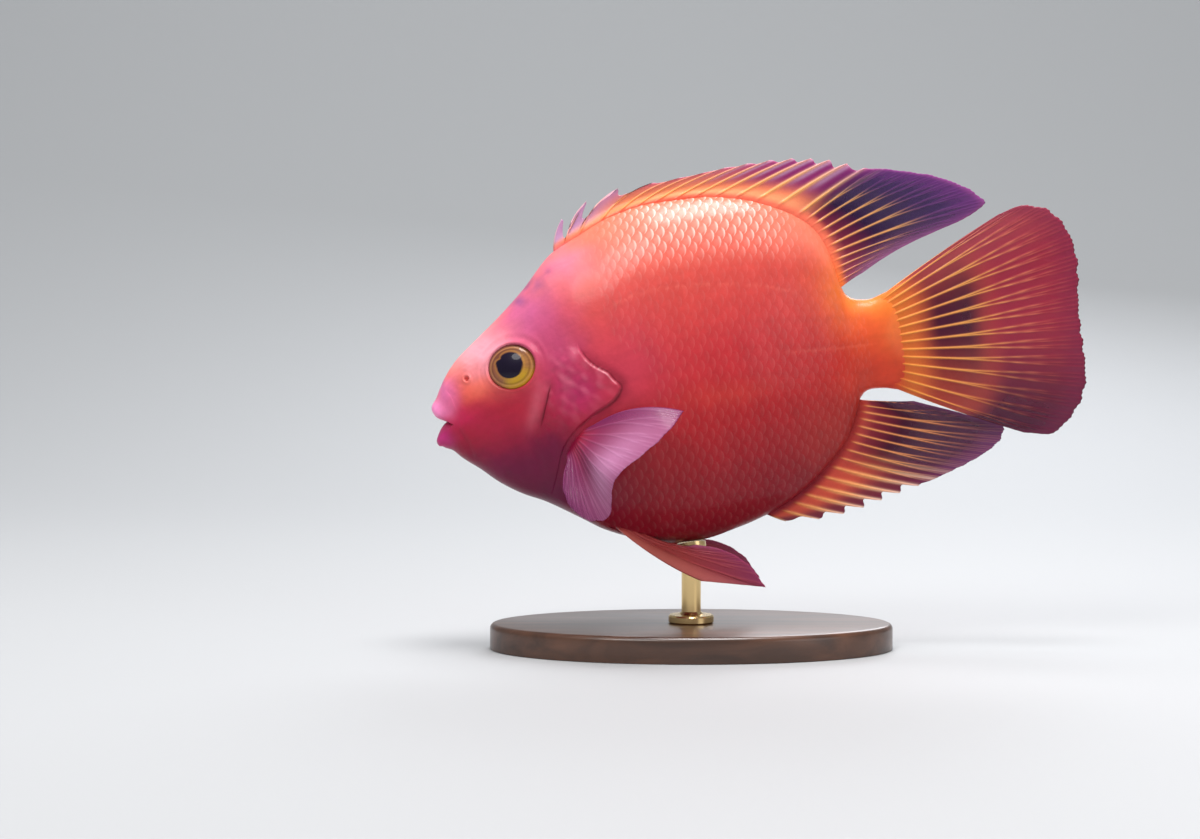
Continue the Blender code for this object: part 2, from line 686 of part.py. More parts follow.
def ray_shares(count):
    """The rows of points along a ray: one sunk in the body, then even steps from its base to its tip."""
    return [-ROOT_DEPTH] + [i / (count - 1) for i in range(count)]


def right_sweep(x):
    """How far the free ends of the dorsal and anal fins stand to the right."""
    return bend(min(x, 132.0)) + 2.4 * (max(x - 118.0, 0.0) / 60.0) ** 1.5


def make_median_fins(parts, skin):
    """The spiny and the soft dorsal fin, the anal fin and the tail fin, each cut off along the skin."""
    bows = [*FIRST_BOWS, *[SPINE_BOW] * (len(DORSAL_SPINES) - len(FIRST_BOWS))]
    spines = [median_ray(ray, bow, right_sweep) for ray, bow in zip(DORSAL_SPINES, bows)]
    notch = [*FIRST_NOTCHES, *[SPINE_NOTCH] * (len(spines) - len(FIRST_NOTCHES))]
    spiny = make_fin("dorsal_fin_spiny", spines, parts, ray_shares(5), [SPINE] * len(spines), notch, FIN_SHEATH)

    rays = [median_ray(ray, 0.05, right_sweep) for ray in DORSAL_SOFT]
    notch = [SOFT_NOTCH] * len(rays)
    soft = make_fin("dorsal_fin_soft", rays, parts, ray_shares(5), [RIDGE] * len(rays), notch, FIN_SHEATH)

    rays = [median_ray(ray, -0.04, right_sweep) for ray in ANAL_RAYS]
    soft_count = len(rays) - ANAL_SPINE_COUNT
    notch = [0.3, 0.24, *[0.16] * (ANAL_SPINE_COUNT - 2), *[SOFT_NOTCH] * soft_count]
    ridges = [SPINE] * ANAL_SPINE_COUNT + [RIDGE] * soft_count
    anal = make_fin("anal_fin", rays, parts, ray_shares(5), ridges, notch, FIN_SHEATH)

    rays = [median_ray(ray, TAIL_BOW * ray[3] / TAIL_RAYS[0][3], bend) for ray in TAIL_RAYS]
    swell = [math.sqrt(1 - min(abs(ray[1]) / TAIL_ROOT_REACH, 1.0) ** 2) for ray in TAIL_RAYS]
    notch = [SOFT_NOTCH] * len(rays)
    caudal = make_fin("caudal_fin", rays, parts, ray_shares(6), [RIDGE] * len(rays), notch, TAIL_SHEATH, swell)

    for item in (spiny, soft, anal, caudal):
        boolean(item, "DIFFERENCE", skin)
        keep_largest(item)


def pectoral_rays(side):
    count = len(PECTORAL_TIPS)
    first, last = (Vector(p) for p in PECTORAL_BASE)
    rays = []
    for i, (x, z, out) in enumerate(PECTORAL_TIPS):
        root = first.lerp(last, i / (count - 1))
        skin = side_at(root.x, root.y)
        base = Vector((root.x, side * skin, root.y))
        tip = Vector((x, side * (skin + out), z))
        lift = PECTORAL_LIFTS[i] if i < len(PECTORAL_LIFTS) else 0.0
        middle = (base + tip) / 2 + Vector((-1.5, side * PECTORAL_BOW, lift))
        rays.append((base, middle, tip))
    return rays


def pelvic_rays(side):
    count = len(PELVIC_TIPS)
    rays = []
    first, last = (Vector((x, y, belly_at(x, y) + PELVIC_SUNK)) for x, y in PELVIC_BASE)
    for i, (x, y, z) in enumerate(PELVIC_TIPS):
        base = first.lerp(last, i / (count - 1))
        tip = Vector((x, y, z))
        middle = (base + tip) / 2 + Vector((0, 0, -PELVIC_BOW))
        rays.append(tuple(Vector((p.x, side * p.y, p.z)) for p in (base, middle, tip)))
    return rays


def make_paired_fins(parts, skin):
    for side, label in ((-1, "left"), (1, "right")):
        rays = pectoral_rays(side)
        ridges, notch = [PECTORAL_RIDGE] * len(rays), [SOFT_NOTCH] * len(rays)
        name = f"pectoral_fin_{label}"
        pectoral = make_fin(name, rays, parts, ray_shares(5), ridges, notch, PECTORAL_SHEATH)
        rays = pelvic_rays(side)
        ridges, notch = [SPINE, *[RIDGE] * (len(rays) - 1)], [SOFT_NOTCH] * len(rays)
        pelvic = make_fin(f"pelvic_fin_{label}", rays, parts, ray_shares(6), ridges, notch, FIN_SHEATH)
        for item in (pectoral, pelvic):
            boolean(item, "DIFFERENCE", skin)
            keep_largest(item)


def floor_level():
    """Height of the tip of the snout above the underside of the base."""
    return BASE_HEIGHT + PELVIC_CLEARANCE - LOWEST_FIN


def make_base(parts):
    """An oval plate with its upper edge rounded."""
    height = BASE_HEIGHT * MM
    bm = bmesh.new()
    bmesh.ops.create_cone(bm, cap_ends=True, segments=BASE_SIDES, radius1=0.5, radius2=0.5, depth=height)
    bmesh.ops.scale(bm, verts=bm.verts, vec=(BASE_LENGTH * MM, BASE_WIDTH * MM, 1))
    bmesh.ops.translate(bm, verts=bm.verts, vec=(0, 0, height / 2))
    edge = [e for e in bm.edges if all(v.co.z > height / 2 for v in e.verts)]
    bmesh.ops.bevel(bm, geom=edge, offset=BASE_EDGE * MM, segments=3, profile=0.5, affect="EDGES", material=-1)
    return mesh_object("stand_base", bm, parts)


def make_rod(parts, skin):
    """A rod with a collar on the base and a cup under the belly, cut off along the skin."""
    foot = BASE_HEIGHT + GAP
    collar = foot + COLLAR_HEIGHT
    cup = floor_level() + CUP_LEVEL
    profile = (
        (COLLAR_RADIUS, foot), (COLLAR_RADIUS, collar - 0.8), (COLLAR_RADIUS - 1.0, collar),
        (ROD_RADIUS + 0.6, collar), (ROD_RADIUS, collar + 1.2), (ROD_RADIUS, cup - CUP_HEIGHT),
        (CUP_RADIUS, cup), (CUP_RADIUS, cup + CUP_HEIGHT),
    )
    angles = [2 * math.pi * i / ROD_SIDES for i in range(ROD_SIDES)]
    rings = [[(r * math.cos(a), r * math.sin(a), z) for a in angles] for r, z in profile]
    rod = loft("stand_rod", rings, parts)
    boolean(rod, "DIFFERENCE", skin)
    keep_largest(rod)
    return rod


def finish(parts):
    """Gives each node the material of its slot, and smooth shading."""
    materials = {name: make_material(name) for name in MATERIALS}
    for item in parts.objects:
        if item.type != "MESH":
            continue
        item.data.materials.clear()
        item.data.materials.append(materials[SLOTS[item.name]])
        for polygon in item.data.polygons:
            polygon.use_smooth = True


def main():
    clear_scene()
    parts = new_collection("blood_parrot_cichlid")
    cutters = new_collection("cutters", hidden=True)

    make_flesh(parts, cutters)
    make_eye("eye_left", -1, parts)
    make_eye("eye_right", 1, parts)
    skin = body_loft("skin_with_gap", cutters, GAP)
    make_median_fins(parts, skin)
    make_paired_fins(parts, skin)

    pose = bpy.data.objects.new("fish_pose", None)
    pose.rotation_euler = (0, -math.radians(PITCH_DEG), 0)
    pose.location = (-ROD_X * MM, 0, floor_level() * MM)
    for item in [*parts.objects, skin]:
        item.parent = pose
    parts.objects.link(pose)
    bpy.context.view_layer.update()

    make_base(parts)
    make_rod(parts, skin)
    finish(parts)
    for item in list(cutters.objects):
        bpy.data.objects.remove(item)
    bpy.data.collections.remove(cutters)


main()
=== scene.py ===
"""Blood parrot cichlid, a life-size still model on a short rod and an oval base.

The fish is worked out level, in millimetres, in its own frame: x runs from the tip of the snout to the tail,
z is up and y runs to its right side. to_world() pitches it nose down over its base, in metres.
"""

import math

import bmesh
import bpy
import numpy as np
from bpy.props import FloatProperty, FloatVectorProperty, IntProperty, PointerProperty
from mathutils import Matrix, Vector


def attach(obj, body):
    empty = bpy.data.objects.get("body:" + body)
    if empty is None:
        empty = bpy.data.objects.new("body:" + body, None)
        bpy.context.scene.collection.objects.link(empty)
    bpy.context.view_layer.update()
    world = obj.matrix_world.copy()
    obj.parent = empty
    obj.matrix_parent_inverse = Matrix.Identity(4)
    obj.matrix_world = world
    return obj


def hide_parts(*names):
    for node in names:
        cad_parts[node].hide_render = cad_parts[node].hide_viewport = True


bl_info = {
    "name": "Blood parrot cichlid",
    "version": (1, 0, 0),
    "blender": (4, 5, 0),
    "location": "3D Viewport > Sidebar > Fish",
    "description": "A life-size still model of a blood parrot cichlid on a short rod and an oval base",
    "category": "Object",
}

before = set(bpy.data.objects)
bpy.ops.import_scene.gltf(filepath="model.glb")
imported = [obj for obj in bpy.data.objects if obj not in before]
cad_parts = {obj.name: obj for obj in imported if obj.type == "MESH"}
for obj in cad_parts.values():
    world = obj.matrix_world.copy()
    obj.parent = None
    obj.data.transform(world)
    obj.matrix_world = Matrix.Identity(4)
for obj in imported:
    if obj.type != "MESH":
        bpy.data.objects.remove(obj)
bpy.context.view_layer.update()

MM = 0.001
PITCH = math.radians(8.8)
SNOUT_X = -80.0  # the tip of the snout from the rod
SNOUT_Z = 73.2  # and above the underside of the base
SIDES = ((-1, "left"), (1, "right"))
FAR = 99.0  # stands for every distance that is too large to matter
# The solids that the one skin takes the place of
FLESH_NODES = ("head", "lower_jaw", "gill_cover_left", "gill_cover_right", "torso", "tail")

# Outline of the body from the side, as (x, z)
BACK = (
    (0.4, -1.6), (1.2, 1.3), (3.0, 5.0), (5.6, 9.2), (9.6, 13.8), (16.2, 18.9), (24.0, 24.6), (33.3, 32.2),
    (43.8, 42.0), (53.6, 46.9), (63.5, 50.8), (76.3, 52.9), (91.8, 52.5), (103.8, 50.1), (115.5, 45.2),
    (121.5, 41.2), (125.0, 37.4), (127.6, 31.6), (129.0, 25.4), (130.0, 19.4), (131.6, 15.6), (134.5, 14.1),
    (138.0, 13.6), (142.5, 14.6), (149.5, 17.0),
)
BELLY = (
    (0.4, -8.6), (1.2, -10.6), (2.6, -11.8), (4.6, -12.8), (7.5, -15.8), (12.2, -19.8), (17.6, -24.9),
    (24.0, -29.4), (30.7, -32.9), (40.4, -39.8), (46.9, -44.3), (57.4, -49.0), (66.9, -51.7), (75.6, -52.1),
    (88.7, -49.9), (100.0, -46.6), (110.1, -41.6), (118.6, -35.1), (125.2, -28.4), (129.1, -21.2),
    (131.6, -15.6), (134.5, -14.2), (138.0, -14.4), (142.5, -15.4), (149.5, -18.0),
)
# Half of the width, and the level at which the body is widest
HALF_WIDTH = (
    (0.4, 1.2), (1.2, 2.9), (3.0, 4.8), (7.0, 7.2), (12.0, 9.4), (20.0, 12.4), (27.0, 14.4), (40.0, 18.4),
    (52.0, 21.2), (62.0, 22.2), (75.0, 21.6), (90.0, 19.2), (105.0, 15.2), (118.0, 10.8), (126.0, 8.4),
    (131.0, 7.3), (137.0, 6.1), (142.5, 4.5), (145.0, 3.4), (147.5, 2.0), (149.5, 0.3),
)
WIDEST = (
    (0.4, -4.9), (7.0, -4.9), (12.0, -3.9), (27.0, -2.0), (45.0, -4.0), (65.0, -6.0), (90.0, -4.0),
    (115.0, -1.0), (142.5, 0.0), (149.5, 0.0),
)
# How square the body's section is above and below that level: 2 is an ellipse
BACK_POWER = ((0.4, 2.1), (27.0, 2.0), (60.0, 1.9), (110.0, 1.85), (142.5, 2.0))
BELLY_POWER = ((0.4, 2.2), (27.0, 2.05), (60.0, 2.15), (110.0, 1.95), (142.5, 2.0))
# The tail's turn to the left: where it starts, how long it is and how far it goes
BEND_START = 110.0
BEND_LENGTH = 90.0
BEND_DEPTH = 7.0

# Lines on the side of the head, as (x, z)
GILL_EDGE = (
    (42.6, 41.6), (45.7, 32.1), (47.1, 21.0), (47.8, 11.0), (52.4, 5.6), (56.4, 2.6), (58.9, -1.0),
    (56.2, -4.6), (49.6, -7.4), (43.6, -11.2), (38.4, -16.6), (36.0, -23.4), (33.4, -29.6), (30.2, -34.5),
)
PREOPERCLE = (
    (44.5, 13.6), (41.6, 10.8), (38.3, 4.0), (35.4, -3.6), (32.6, -10.2), (31.0, -17.5), (31.6, -26.6),
)
JAW_FOLD = ((7.3, -5.2), (8.6, -7.4), (10.2, -11.2), (11.0, -15.4))
SNOUT_FOLD = ((7.4, -4.4), (8.3, -1.6), (7.9, 2.2), (6.4, 5.6))
FOLDS = ((JAW_FOLD, 0.13, 0.6), (SNOUT_FOLD, 0.05, 0.7))  # each with its depth and width
# Heights and depths in the skin
GILL_RAISE = 0.70
GILL_GROOVE = 0.34
CHEEK_GROOVE = 0.14
CHEEK_CUT = 0.46  # the sharp part of that groove
EYE_HOLE_DEPTH = 2.6
NOSTRIL_DEPTH = 1.5

EYE = (27.2, 9.8)
EYE_STRETCH = (1.09, 0.965)  # how much longer than round the eye is along the head, and how much lower
EYE_TURN = 0.8  # how far the eye follows the slope of the skin round it
EYE_HOLE = (6.35, 7.05)  # where the wall of the eye's hole starts and ends
NOSTRIL = (12.8, 8.3)

# Rows of points from inside the mouth out over the lips: (x, z) of the upper lip, (x, z) of the lower lip
# and (x, y, z) of the corner of the mouth
MOUTH_ROWS = (
    ((9.5, -4.4), (9.5, -4.6), (9.5, 0.6, -4.5)),
    ((7.8, -3.9), (7.8, -4.6), (9.3, 2.8, -4.7)),
    ((5.5, -3.7), (5.5, -3.95), (8.2, 4.6, -4.9)),
    ((3.8, -3.25), (3.9, -4.25), (7.3, 5.7, -4.95)),
    ((1.5, -2.3), (2.1, -6.0), (6.8, 6.4, -4.95)),
    ((0.38, -0.2), (0.35, -9.1), (6.6, 6.9, -4.9)),
    ((0.6, 1.6), (0.75, -10.9), (6.9, 7.2, -4.9)),
)
LIP_BACK = (2.3, 7.8, 1.9)  # where the lips end on the snout: above, at the corner and below
LIP_CURL = 0.10
LIP_FADE = 2.5  # how fast the fading of the relief towards the lips ends
SQUARE_FROM = 22.0  # from here on the rows of points lie square to the body

# The skin's grid of points
SKIN_COLUMNS = 266
SKIN_ROWS = 312
LIP_STEPS = 7  # from one row of the mouth to the next
SIDE_SHIFT = 0.21  # how much closer together the columns are on the sides
# Where the rows lie, as (share of them, x)
STATIONS = ((0, 1.0), (0.18, 14.0), (0.74, 66.0), (0.91, 124.0), (0.95, 133.0), (1.0, 149.5))
# Round edges that draw the grid to them: centre, radius, reach, strength
GRID_RINGS = ((EYE, 7.05, 2.6, 0.62), (NOSTRIL, 0.8, 0.9, 0.5))

# Scales. First even places along one, and the places used instead
SCALE_ROWS = ((-1, -0.5, 0, 0.5, 1), (-1, -0.4, 0.2, 0.76, 1))
SCALE_LENGTH = 0.94  # half of a scale's length, in steps from one to the next
SCALE_WIDTH = 1.18  # half of its width, in steps from row to row
SCALE_SINK = -0.14  # how far its root goes into the skin
HALF_PATCH = 0.0015  # half of its size in the UV map

# Fins. A ray is (base x, base z, tip x, tip z)
DORSAL_SPINES = (
    (44.6, 42.4, 48.8, 52.1), (48.6, 44.0, 57.2, 56.4), (53.2, 46.0, 67.4, 58.7), (60.2, 49.2, 77.8, 58.7),
    (66.2, 51.2, 86.2, 58.9), (72.2, 52.3, 93.7, 59.3), (78.3, 52.9, 100.3, 59.8),
    (84.3, 52.9, 107.2, 60.0), (90.3, 52.6, 114.1, 60.0), (96.3, 51.7, 120.9, 59.5),
    (102.3, 50.4, 126.7, 58.6), (108.4, 48.4, 132.2, 57.3), (114.4, 45.7, 137.4, 55.4),
    (120.2, 42.1, 142.8, 53.2),
)
DORSAL_SOFT = (
    (122.6, 40.2, 148.4, 52.2), (124.3, 38.3, 155.7, 50.2), (125.7, 35.9, 162.6, 48.1),
    (126.8, 33.5, 168.2, 45.5), (127.6, 31.1, 173.6, 42.2), (128.2, 28.8, 178.0, 37.3),
    (128.7, 26.5, 171.0, 33.3), (129.1, 24.2, 161.0, 30.6), (129.4, 22.0, 152.0, 28.0),
    (129.7, 20.0, 144.0, 24.9), (130.1, 18.2, 137.2, 21.6),
)
ANAL_RAYS = (
    (97.0, -47.2, 102.4, -50.2), (101.2, -46.0, 112.8, -51.2), (105.2, -44.2, 120.4, -50.7),
    (108.8, -42.2, 126.8, -49.7), (112.2, -40.2, 132.6, -48.3), (115.4, -37.8, 138.5, -47.0),
    (118.4, -35.2, 144.6, -45.7), (121.0, -32.8, 150.1, -44.4), (123.2, -30.6, 155.0, -43.0),
    (125.1, -28.4, 159.7, -41.6), (126.6, -26.2, 164.2, -40.0), (127.8, -24.0, 168.4, -38.1),
    (128.8, -21.9, 172.0, -35.6), (129.6, -19.9, 173.6, -32.0), (130.3, -18.1, 162.0, -26.0),
    (131.0, -16.6, 147.0, -19.6),
)
ANAL_SPINES = 7
TAIL_RAYS = (
    (140.0, 12.9, 180.6, 33.0), (140.0, 11.6, 187.6, 34.6), (140.0, 9.9, 194.6, 32.6),
    (140.0, 8.2, 199.0, 27.6), (140.0, 6.4, 201.2, 21.6), (140.0, 4.6, 201.8, 15.4),
    (140.0, 2.8, 201.2, 9.2), (140.0, 1.0, 200.4, 3.0), (140.0, -0.8, 200.0, -3.2),
    (140.0, -2.6, 199.9, -9.2), (140.0, -4.4, 199.8, -15.0), (140.0, -6.2, 199.2, -21.0),
    (140.0, -8.2, 196.8, -27.0), (140.0, -10.2, 192.4, -32.2), (140.0, -12.2, 186.4, -35.8),
    (140.0, -13.8, 178.6, -34.2),
)
PECTORAL_BASE = ((46.0, -12.8), (40.4, -19.0))
# Each tip is (x, z, distance out from the base)
PECTORAL_TIPS = (
    (76.2, -10.6, 10.0), (72.6, -14.0, 15.0), (67.0, -18.0, 18.5), (60.6, -21.8, 20.5), (55.0, -25.0, 21.0),
    (52.0, -28.6, 20.5), (51.0, -32.8, 19.0), (50.2, -36.6, 17.0), (47.6, -38.8, 15.0), (44.0, -38.6, 13.5),
    (40.6, -36.4, 12.0), (38.0, -32.8, 10.5), (37.0, -28.2, 9.0),
)
PECTORAL_BOW = 4.0
PECTORAL_LIFTS = (8.0, 5.0, 2.6, 1.0)  # how far the upper rays bow upwards
# How far rays bow, as shares of their length
FIRST_BOWS = (0.16, 0.20, 0.22, 0.18, 0.14, 0.11, 0.08, 0.06)
SPINE_BOW = 0.04
SOFT_BOW = 0.05
ANAL_BOW = -0.04
TAIL_BOW = 0.025
PELVIC_BASE = ((50.0, 7.6), (57.6, 6.4))
PELVIC_TIPS = (
    (74.0, 10.5, -63.4), (93.0, 13.5, -67.9), (89.4, 14.0, -60.9), (85.0, 13.6, -56.6), (80.0, 12.6, -53.8),
    (74.0, 11.0, -52.0),
)
PELVIC_BOW = 3.4
PELVIC_SINK = 0.8
FIN_ROOT = (-3.2, -1.4)  # rows of points inside the body, behind the base
FIN_ROWS = ((0, 0), (0.5, 0.46), (0.9, 0.92), (1, 1))  # even places along a ray, and the places used

# Stand. The rod from its foot up, as (radius, height above the floor)
ROD_PROFILE = (
    (0.0, 8.02), (6.6, 8.02), (7.0, 8.4), (7.0, 10.0), (6.6, 10.5), (3.8, 10.7), (3.0, 11.5), (3.0, 15.0),
    (3.0, 20.0), (3.0, 25.6), (3.2, 26.4), (4.2, 27.2), (4.6, 28.0), (4.6, 32.0), (4.4, 40.0), (3.4, 40.0),
    (2.2, 40.0), (1.0, 40.0), (0.0, 40.0),
)
ROD_GAP = 0.0003  # from the cup to the skin
UPPER_BEVEL = 0.0016
LOWER_BEVEL = 0.0004

# Stage
FLOOR_REACH = 2.5
FLOOR_DEPTH = 3.0
SWEEP_RADIUS = 1.6
WALL_HEIGHT = 2.5
# Lights as (name, place, aim, size, share of the main light's power, colour)
FISH_MIDDLE = (0, 0, 0.07)
LIGHTS = (
    ("key", (-0.40, -0.80, 0.95), FISH_MIDDLE, 0.50, 0.62, (1.0, 0.97, 0.94)),
    ("top", (0.05, -0.12, 0.90), FISH_MIDDLE, 0.40, 0.78, (1.0, 0.98, 0.98)),
    ("fill", (0.90, -0.80, 0.30), FISH_MIDDLE, 0.70, 0.20, (0.96, 0.97, 1.0)),
    ("rim", (0.25, 0.85, 0.60), FISH_MIDDLE, 0.60, 0.45, (0.95, 0.96, 1.0)),
    ("wall", (0.0, 0.6, 2.4), (0, 0.9, 0), 1.4, 3.0, (0.98, 0.99, 1.0)),
)
CAMERA_TARGET = (-0.0281, 0.0, 0.0706)
CAMERA_RISE = math.radians(2.5)
SENSOR = 36.0
FRAME_WIDTH = 0.3686  # how much of the model's plane the picture spans

# Looks
BUMP_DEPTH = 0.0003
WOOD_GRAIN = (14.0, 150.0, 150.0)
WOOD_STOPS = ((0.32, 0.55), (0.70, 1.7))  # (place in the grain, how light it is)
# Fine lines of the head, all painted light: a painted shadow behind the gill cover's edge, a painted
# highlight along that edge and painted shade in the groove of the cheek. Each is distance, how much of it
# shows, place across it, width, colour
PAINTED_LIGHT_LINES = (
    ("gill_gap", "gill_shadow", 0.45, 0.32, (0.14, 0.008, 0.02)),
    ("gill_gap", "gill_highlight", -0.30, 0.24, (0.86, 0.38, 0.44)),
    ("fold_gap", "fold_shade", 0.0, 0.26, (0.16, 0.006, 0.02)),
)

COLOUR_DEPTH = 1.14  # makes up for the pale sheen that the gloss lays over the skin
# Markings and painted light, in screen colours from 0 to 255. The ramp runs from the belly to the back: the
# fish's own red, darker below partly as painted shade and paler along the back partly as a painted highlight.
FLANK_RAMP = (
    (0.00, (144, 26, 46)), (0.16, (158, 28, 44)), (0.34, (184, 40, 48)), (0.55, (200, 64, 70)),
    (0.78, (212, 88, 80)), (0.90, (236, 128, 108)), (1.00, (246, 130, 104)),
)
# Patches as (x, z, reach along, reach up, strength, colour)
PATCHES = (
    (138.0, 16.0, 13.0, 12.0, 1.00, (252, 148, 48)),  # narrow part of the tail, above
    (138.0, 2.0, 14.0, 9.0, 0.90, (226, 98, 56)),
    (138.0, -12.0, 14.0, 10.0, 0.85, (222, 80, 52)),
    (148.0, 6.0, 7.0, 12.0, 0.70, (236, 136, 50)),
    (116.0, 8.0, 12.0, 14.0, 0.40, (204, 60, 54)),  # rear of the flank
    (118.0, -2.0, 15.0, 6.0, 0.46, (184, 28, 38)),
    (100.0, 5.0, 16.0, 2.4, 0.22, (190, 40, 46)),  # soft streaks along the flank
    (90.0, -8.0, 16.0, 3.6, 0.26, (222, 90, 72)),
    (122.0, -26.0, 14.0, 12.0, 0.50, (192, 68, 54)),  # above the anal fin
    (62.0, 4.0, 11.0, 18.0, 0.50, (202, 78, 104)),  # behind the gill cover
    # throat and breast: their own dark purple-red, deepened by painted shade on the underside
    (22.0, -20.0, 20.0, 11.0, 0.88, (118, 14, 74)),  # throat
    (35.0, -16.0, 10.0, 8.0, 0.85, (118, 16, 70)),
    (36.0, -31.0, 16.0, 10.0, 0.88, (108, 14, 70)),  # breast
    (20.0, -6.0, 12.0, 9.0, 0.85, (176, 38, 74)),  # cheek
    (25.0, -2.0, 8.0, 4.5, 0.75, (184, 44, 68)),  # under the eye
    (10.0, -3.0, 5.0, 4.0, 0.60, (206, 42, 100)),
    (16.0, 6.0, 7.0, 4.5, 0.90, (246, 116, 88)),  # in front of the eye
    # forehead: pink, paler partly as a painted highlight
    (18.0, 16.0, 10.0, 8.0, 0.90, (254, 180, 194)),  # forehead
    (34.0, 25.0, 11.0, 11.0, 0.80, (208, 108, 164)),  # nape
    # upper nape: pale pink, partly a painted highlight
    (46.0, 38.0, 10.0, 6.0, 0.60, (240, 140, 178)),
    (42.0, 12.0, 9.0, 12.0, 0.65, (190, 80, 130)),  # behind the eye
    (46.0, -1.0, 9.0, 8.0, 0.74, (182, 54, 110)),  # gill cover
    (5.0, 5.0, 4.0, 5.0, 0.80, (236, 132, 188)),  # front of the snout
    (1.0, 0.0, 4.4, 3.2, 0.95, (255, 160, 212)),  # upper lip
    (2.0, -8.4, 4.0, 4.4, 0.85, (212, 62, 144)),  # lower lip
    (4.6, 8.9, 1.2, 2.4, 0.40, (170, 120, 190)),
)
# The two parts of the lateral line, as (x, z)
LATERAL_LINES = (
    ((54.0, 20.6), (62.0, 24.8), (71.0, 26.6), (86.0, 26.4), (103.0, 23.8), (113.0, 20.4), (120.0, 16.6)),
    ((106.0, 2.4), (116.0, 1.2), (128.0, 0.4), (140.0, 0.0)),
)
LATERAL_TINTS = (((244, 150, 128), 0.35, 0.13), ((150, 30, 44), -0.35, 0.08))  # colour, offset, strength
# Smudges of the nape, as (x, z, reach along, reach up)
SMUDGES = ((36.5, 32.6, 4.2, 3.0), (31.6, 28.8, 2.4, 1.8), (42.0, 36.6, 2.4, 1.6))
SMUDGE = (124, 84, 142)
SMUDGE_SHARE = 0.62
# pale rear rim of the scales, and the painted crescent glints on the upper back
SCALE_RIM_GLINT = (255, 232, 222)
GILL_PINK = (240, 140, 160)
# painted shade inside the mouth, fading out over its first rows
MOUTH_SHADE = (70, 14, 30)
MOUTH_SHADE_ROWS = 3
# Painted light along the folds of the head: painted shade in the grooves behind the gill cover, of the cheek
# and of the jaw, and a painted highlight on the swelling before the cheek's groove. Each is line, place
# across it, width, strength, lowest and highest level, colour
FOLD_SHADING = (
    (GILL_EDGE, 1.2, 1.5, 0.35, -12.0, 9.0, (110, 16, 40)),
    (PREOPERCLE, 0.3, 1.3, 0.30, -10.0, 3.0, (128, 16, 48)),
    (PREOPERCLE, -2.8, 2.0, 0.20, -10.0, 4.0, (242, 140, 160)),
    (JAW_FOLD, 0.0, 0.6, 0.25, -13.0, -5.0, (120, 20, 50)),
)

# Ramps of the fins' colours, from the base to the margin
DORSAL_FRONT = (
    (0, (255, 158, 100)), (0.3, (246, 144, 96)), (0.6, (234, 128, 100)), (0.85, (218, 112, 118)),
    (1, (228, 128, 156)),
)
DORSAL_MEMBRANE = (
    (0, (255, 164, 112)), (0.25, (248, 136, 94)), (0.55, (206, 68, 96)), (0.85, (200, 76, 130)),
    (1, (230, 108, 156)),
)
DORSAL_PALE = ((0, (252, 150, 84)), (0.3, (255, 184, 116)), (0.7, (255, 208, 164)), (1, (250, 190, 190)))
DORSAL_DARK = (
    (0, (214, 92, 66)), (0.10, (116, 32, 56)), (0.3, (44, 8, 58)), (0.75, (56, 16, 84)),
    (0.94, (104, 34, 118)), (1, (160, 70, 146)),
)
DORSAL_REAR = ((0, (170, 64, 70)), (0.4, (150, 62, 104)), (1, (176, 96, 150)))
DORSAL_GOLD = ((0, (255, 170, 96)), (0.5, (255, 186, 108)), (1, (206, 128, 134)))
TAIL_MEMBRANE = ((0, (206, 106, 40)), (0.14, (206, 104, 46)), (0.3, (200, 78, 50)), (1, (186, 60, 64)))
TAIL_GOLD = ((0, (255, 166, 66)), (0.5, (255, 180, 96)), (0.75, (240, 142, 104)), (1, (186, 78, 82)))
ANAL_DARK = (
    (0, (200, 72, 56)), (0.14, (128, 32, 46)), (0.32, (66, 8, 38)), (0.8, (80, 18, 62)), (1, (122, 48, 108)),
)
ANAL_WARM = ((0, (204, 70, 54)), (0.4, (206, 82, 62)), (0.75, (182, 74, 74)), (1, (150, 56, 84)))
ANAL_PALE = ((0, (244, 138, 78)), (0.5, (255, 196, 126)), (1, (255, 222, 200)))
ANAL_GOLD = ((0, (250, 160, 96)), (0.55, (246, 160, 100)), (1, (230, 170, 150)))
PECTORAL_MEMBRANE = ((0, (158, 42, 66)), (0.25, (140, 46, 84)), (1, (160, 76, 122)))
PELVIC_MEMBRANE = ((0, (176, 58, 54)), (0.45, (170, 58, 58)), (0.8, (158, 56, 80)), (1, (150, 54, 96)))


class Curve:
    """A smooth curve through (place, value) points, which makes no hump of its own."""

    def __init__(self, points):
        self.x = np.array([p[0] for p in points], float)
        self.y = np.array([p[1] for p in points], float)
        steps = np.diff(self.x)
        slopes = np.diff(self.y) / steps
        self.t = np.empty(len(self.x))
        self.t[0], self.t[-1] = slopes[0], slopes[-1]
        for i in range(1, len(self.x) - 1):
            before, after = slopes[i - 1], slopes[i]
            near, far = 2 * steps[i] + steps[i - 1], steps[i] + 2 * steps[i - 1]
            self.t[i] = 0.0 if before * after <= 0 else (near + far) / (near / before + far / after)

    def __call__(self, place):
        place = np.clip(place, self.x[0], self.x[-1])
        i = np.clip(np.searchsorted(self.x, place, side="right") - 1, 0, len(self.x) - 2)
        step = self.x[i + 1] - self.x[i]
        t = (place - self.x[i]) / step
        start = self.y[i] * (1 + 2 * t) * (1 - t) ** 2 + self.t[i] * step * t * (1 - t) ** 2
        return start + self.y[i + 1] * t * t * (3 - 2 * t) + self.t[i + 1] * step * t * t * (t - 1)


TOP, BOTTOM, HALF, LEVEL = Curve(BACK), Curve(BELLY), Curve(HALF_WIDTH), Curve(WIDEST)
UPPER_POWER, LOWER_POWER = Curve(BACK_POWER), Curve(BELLY_POWER)
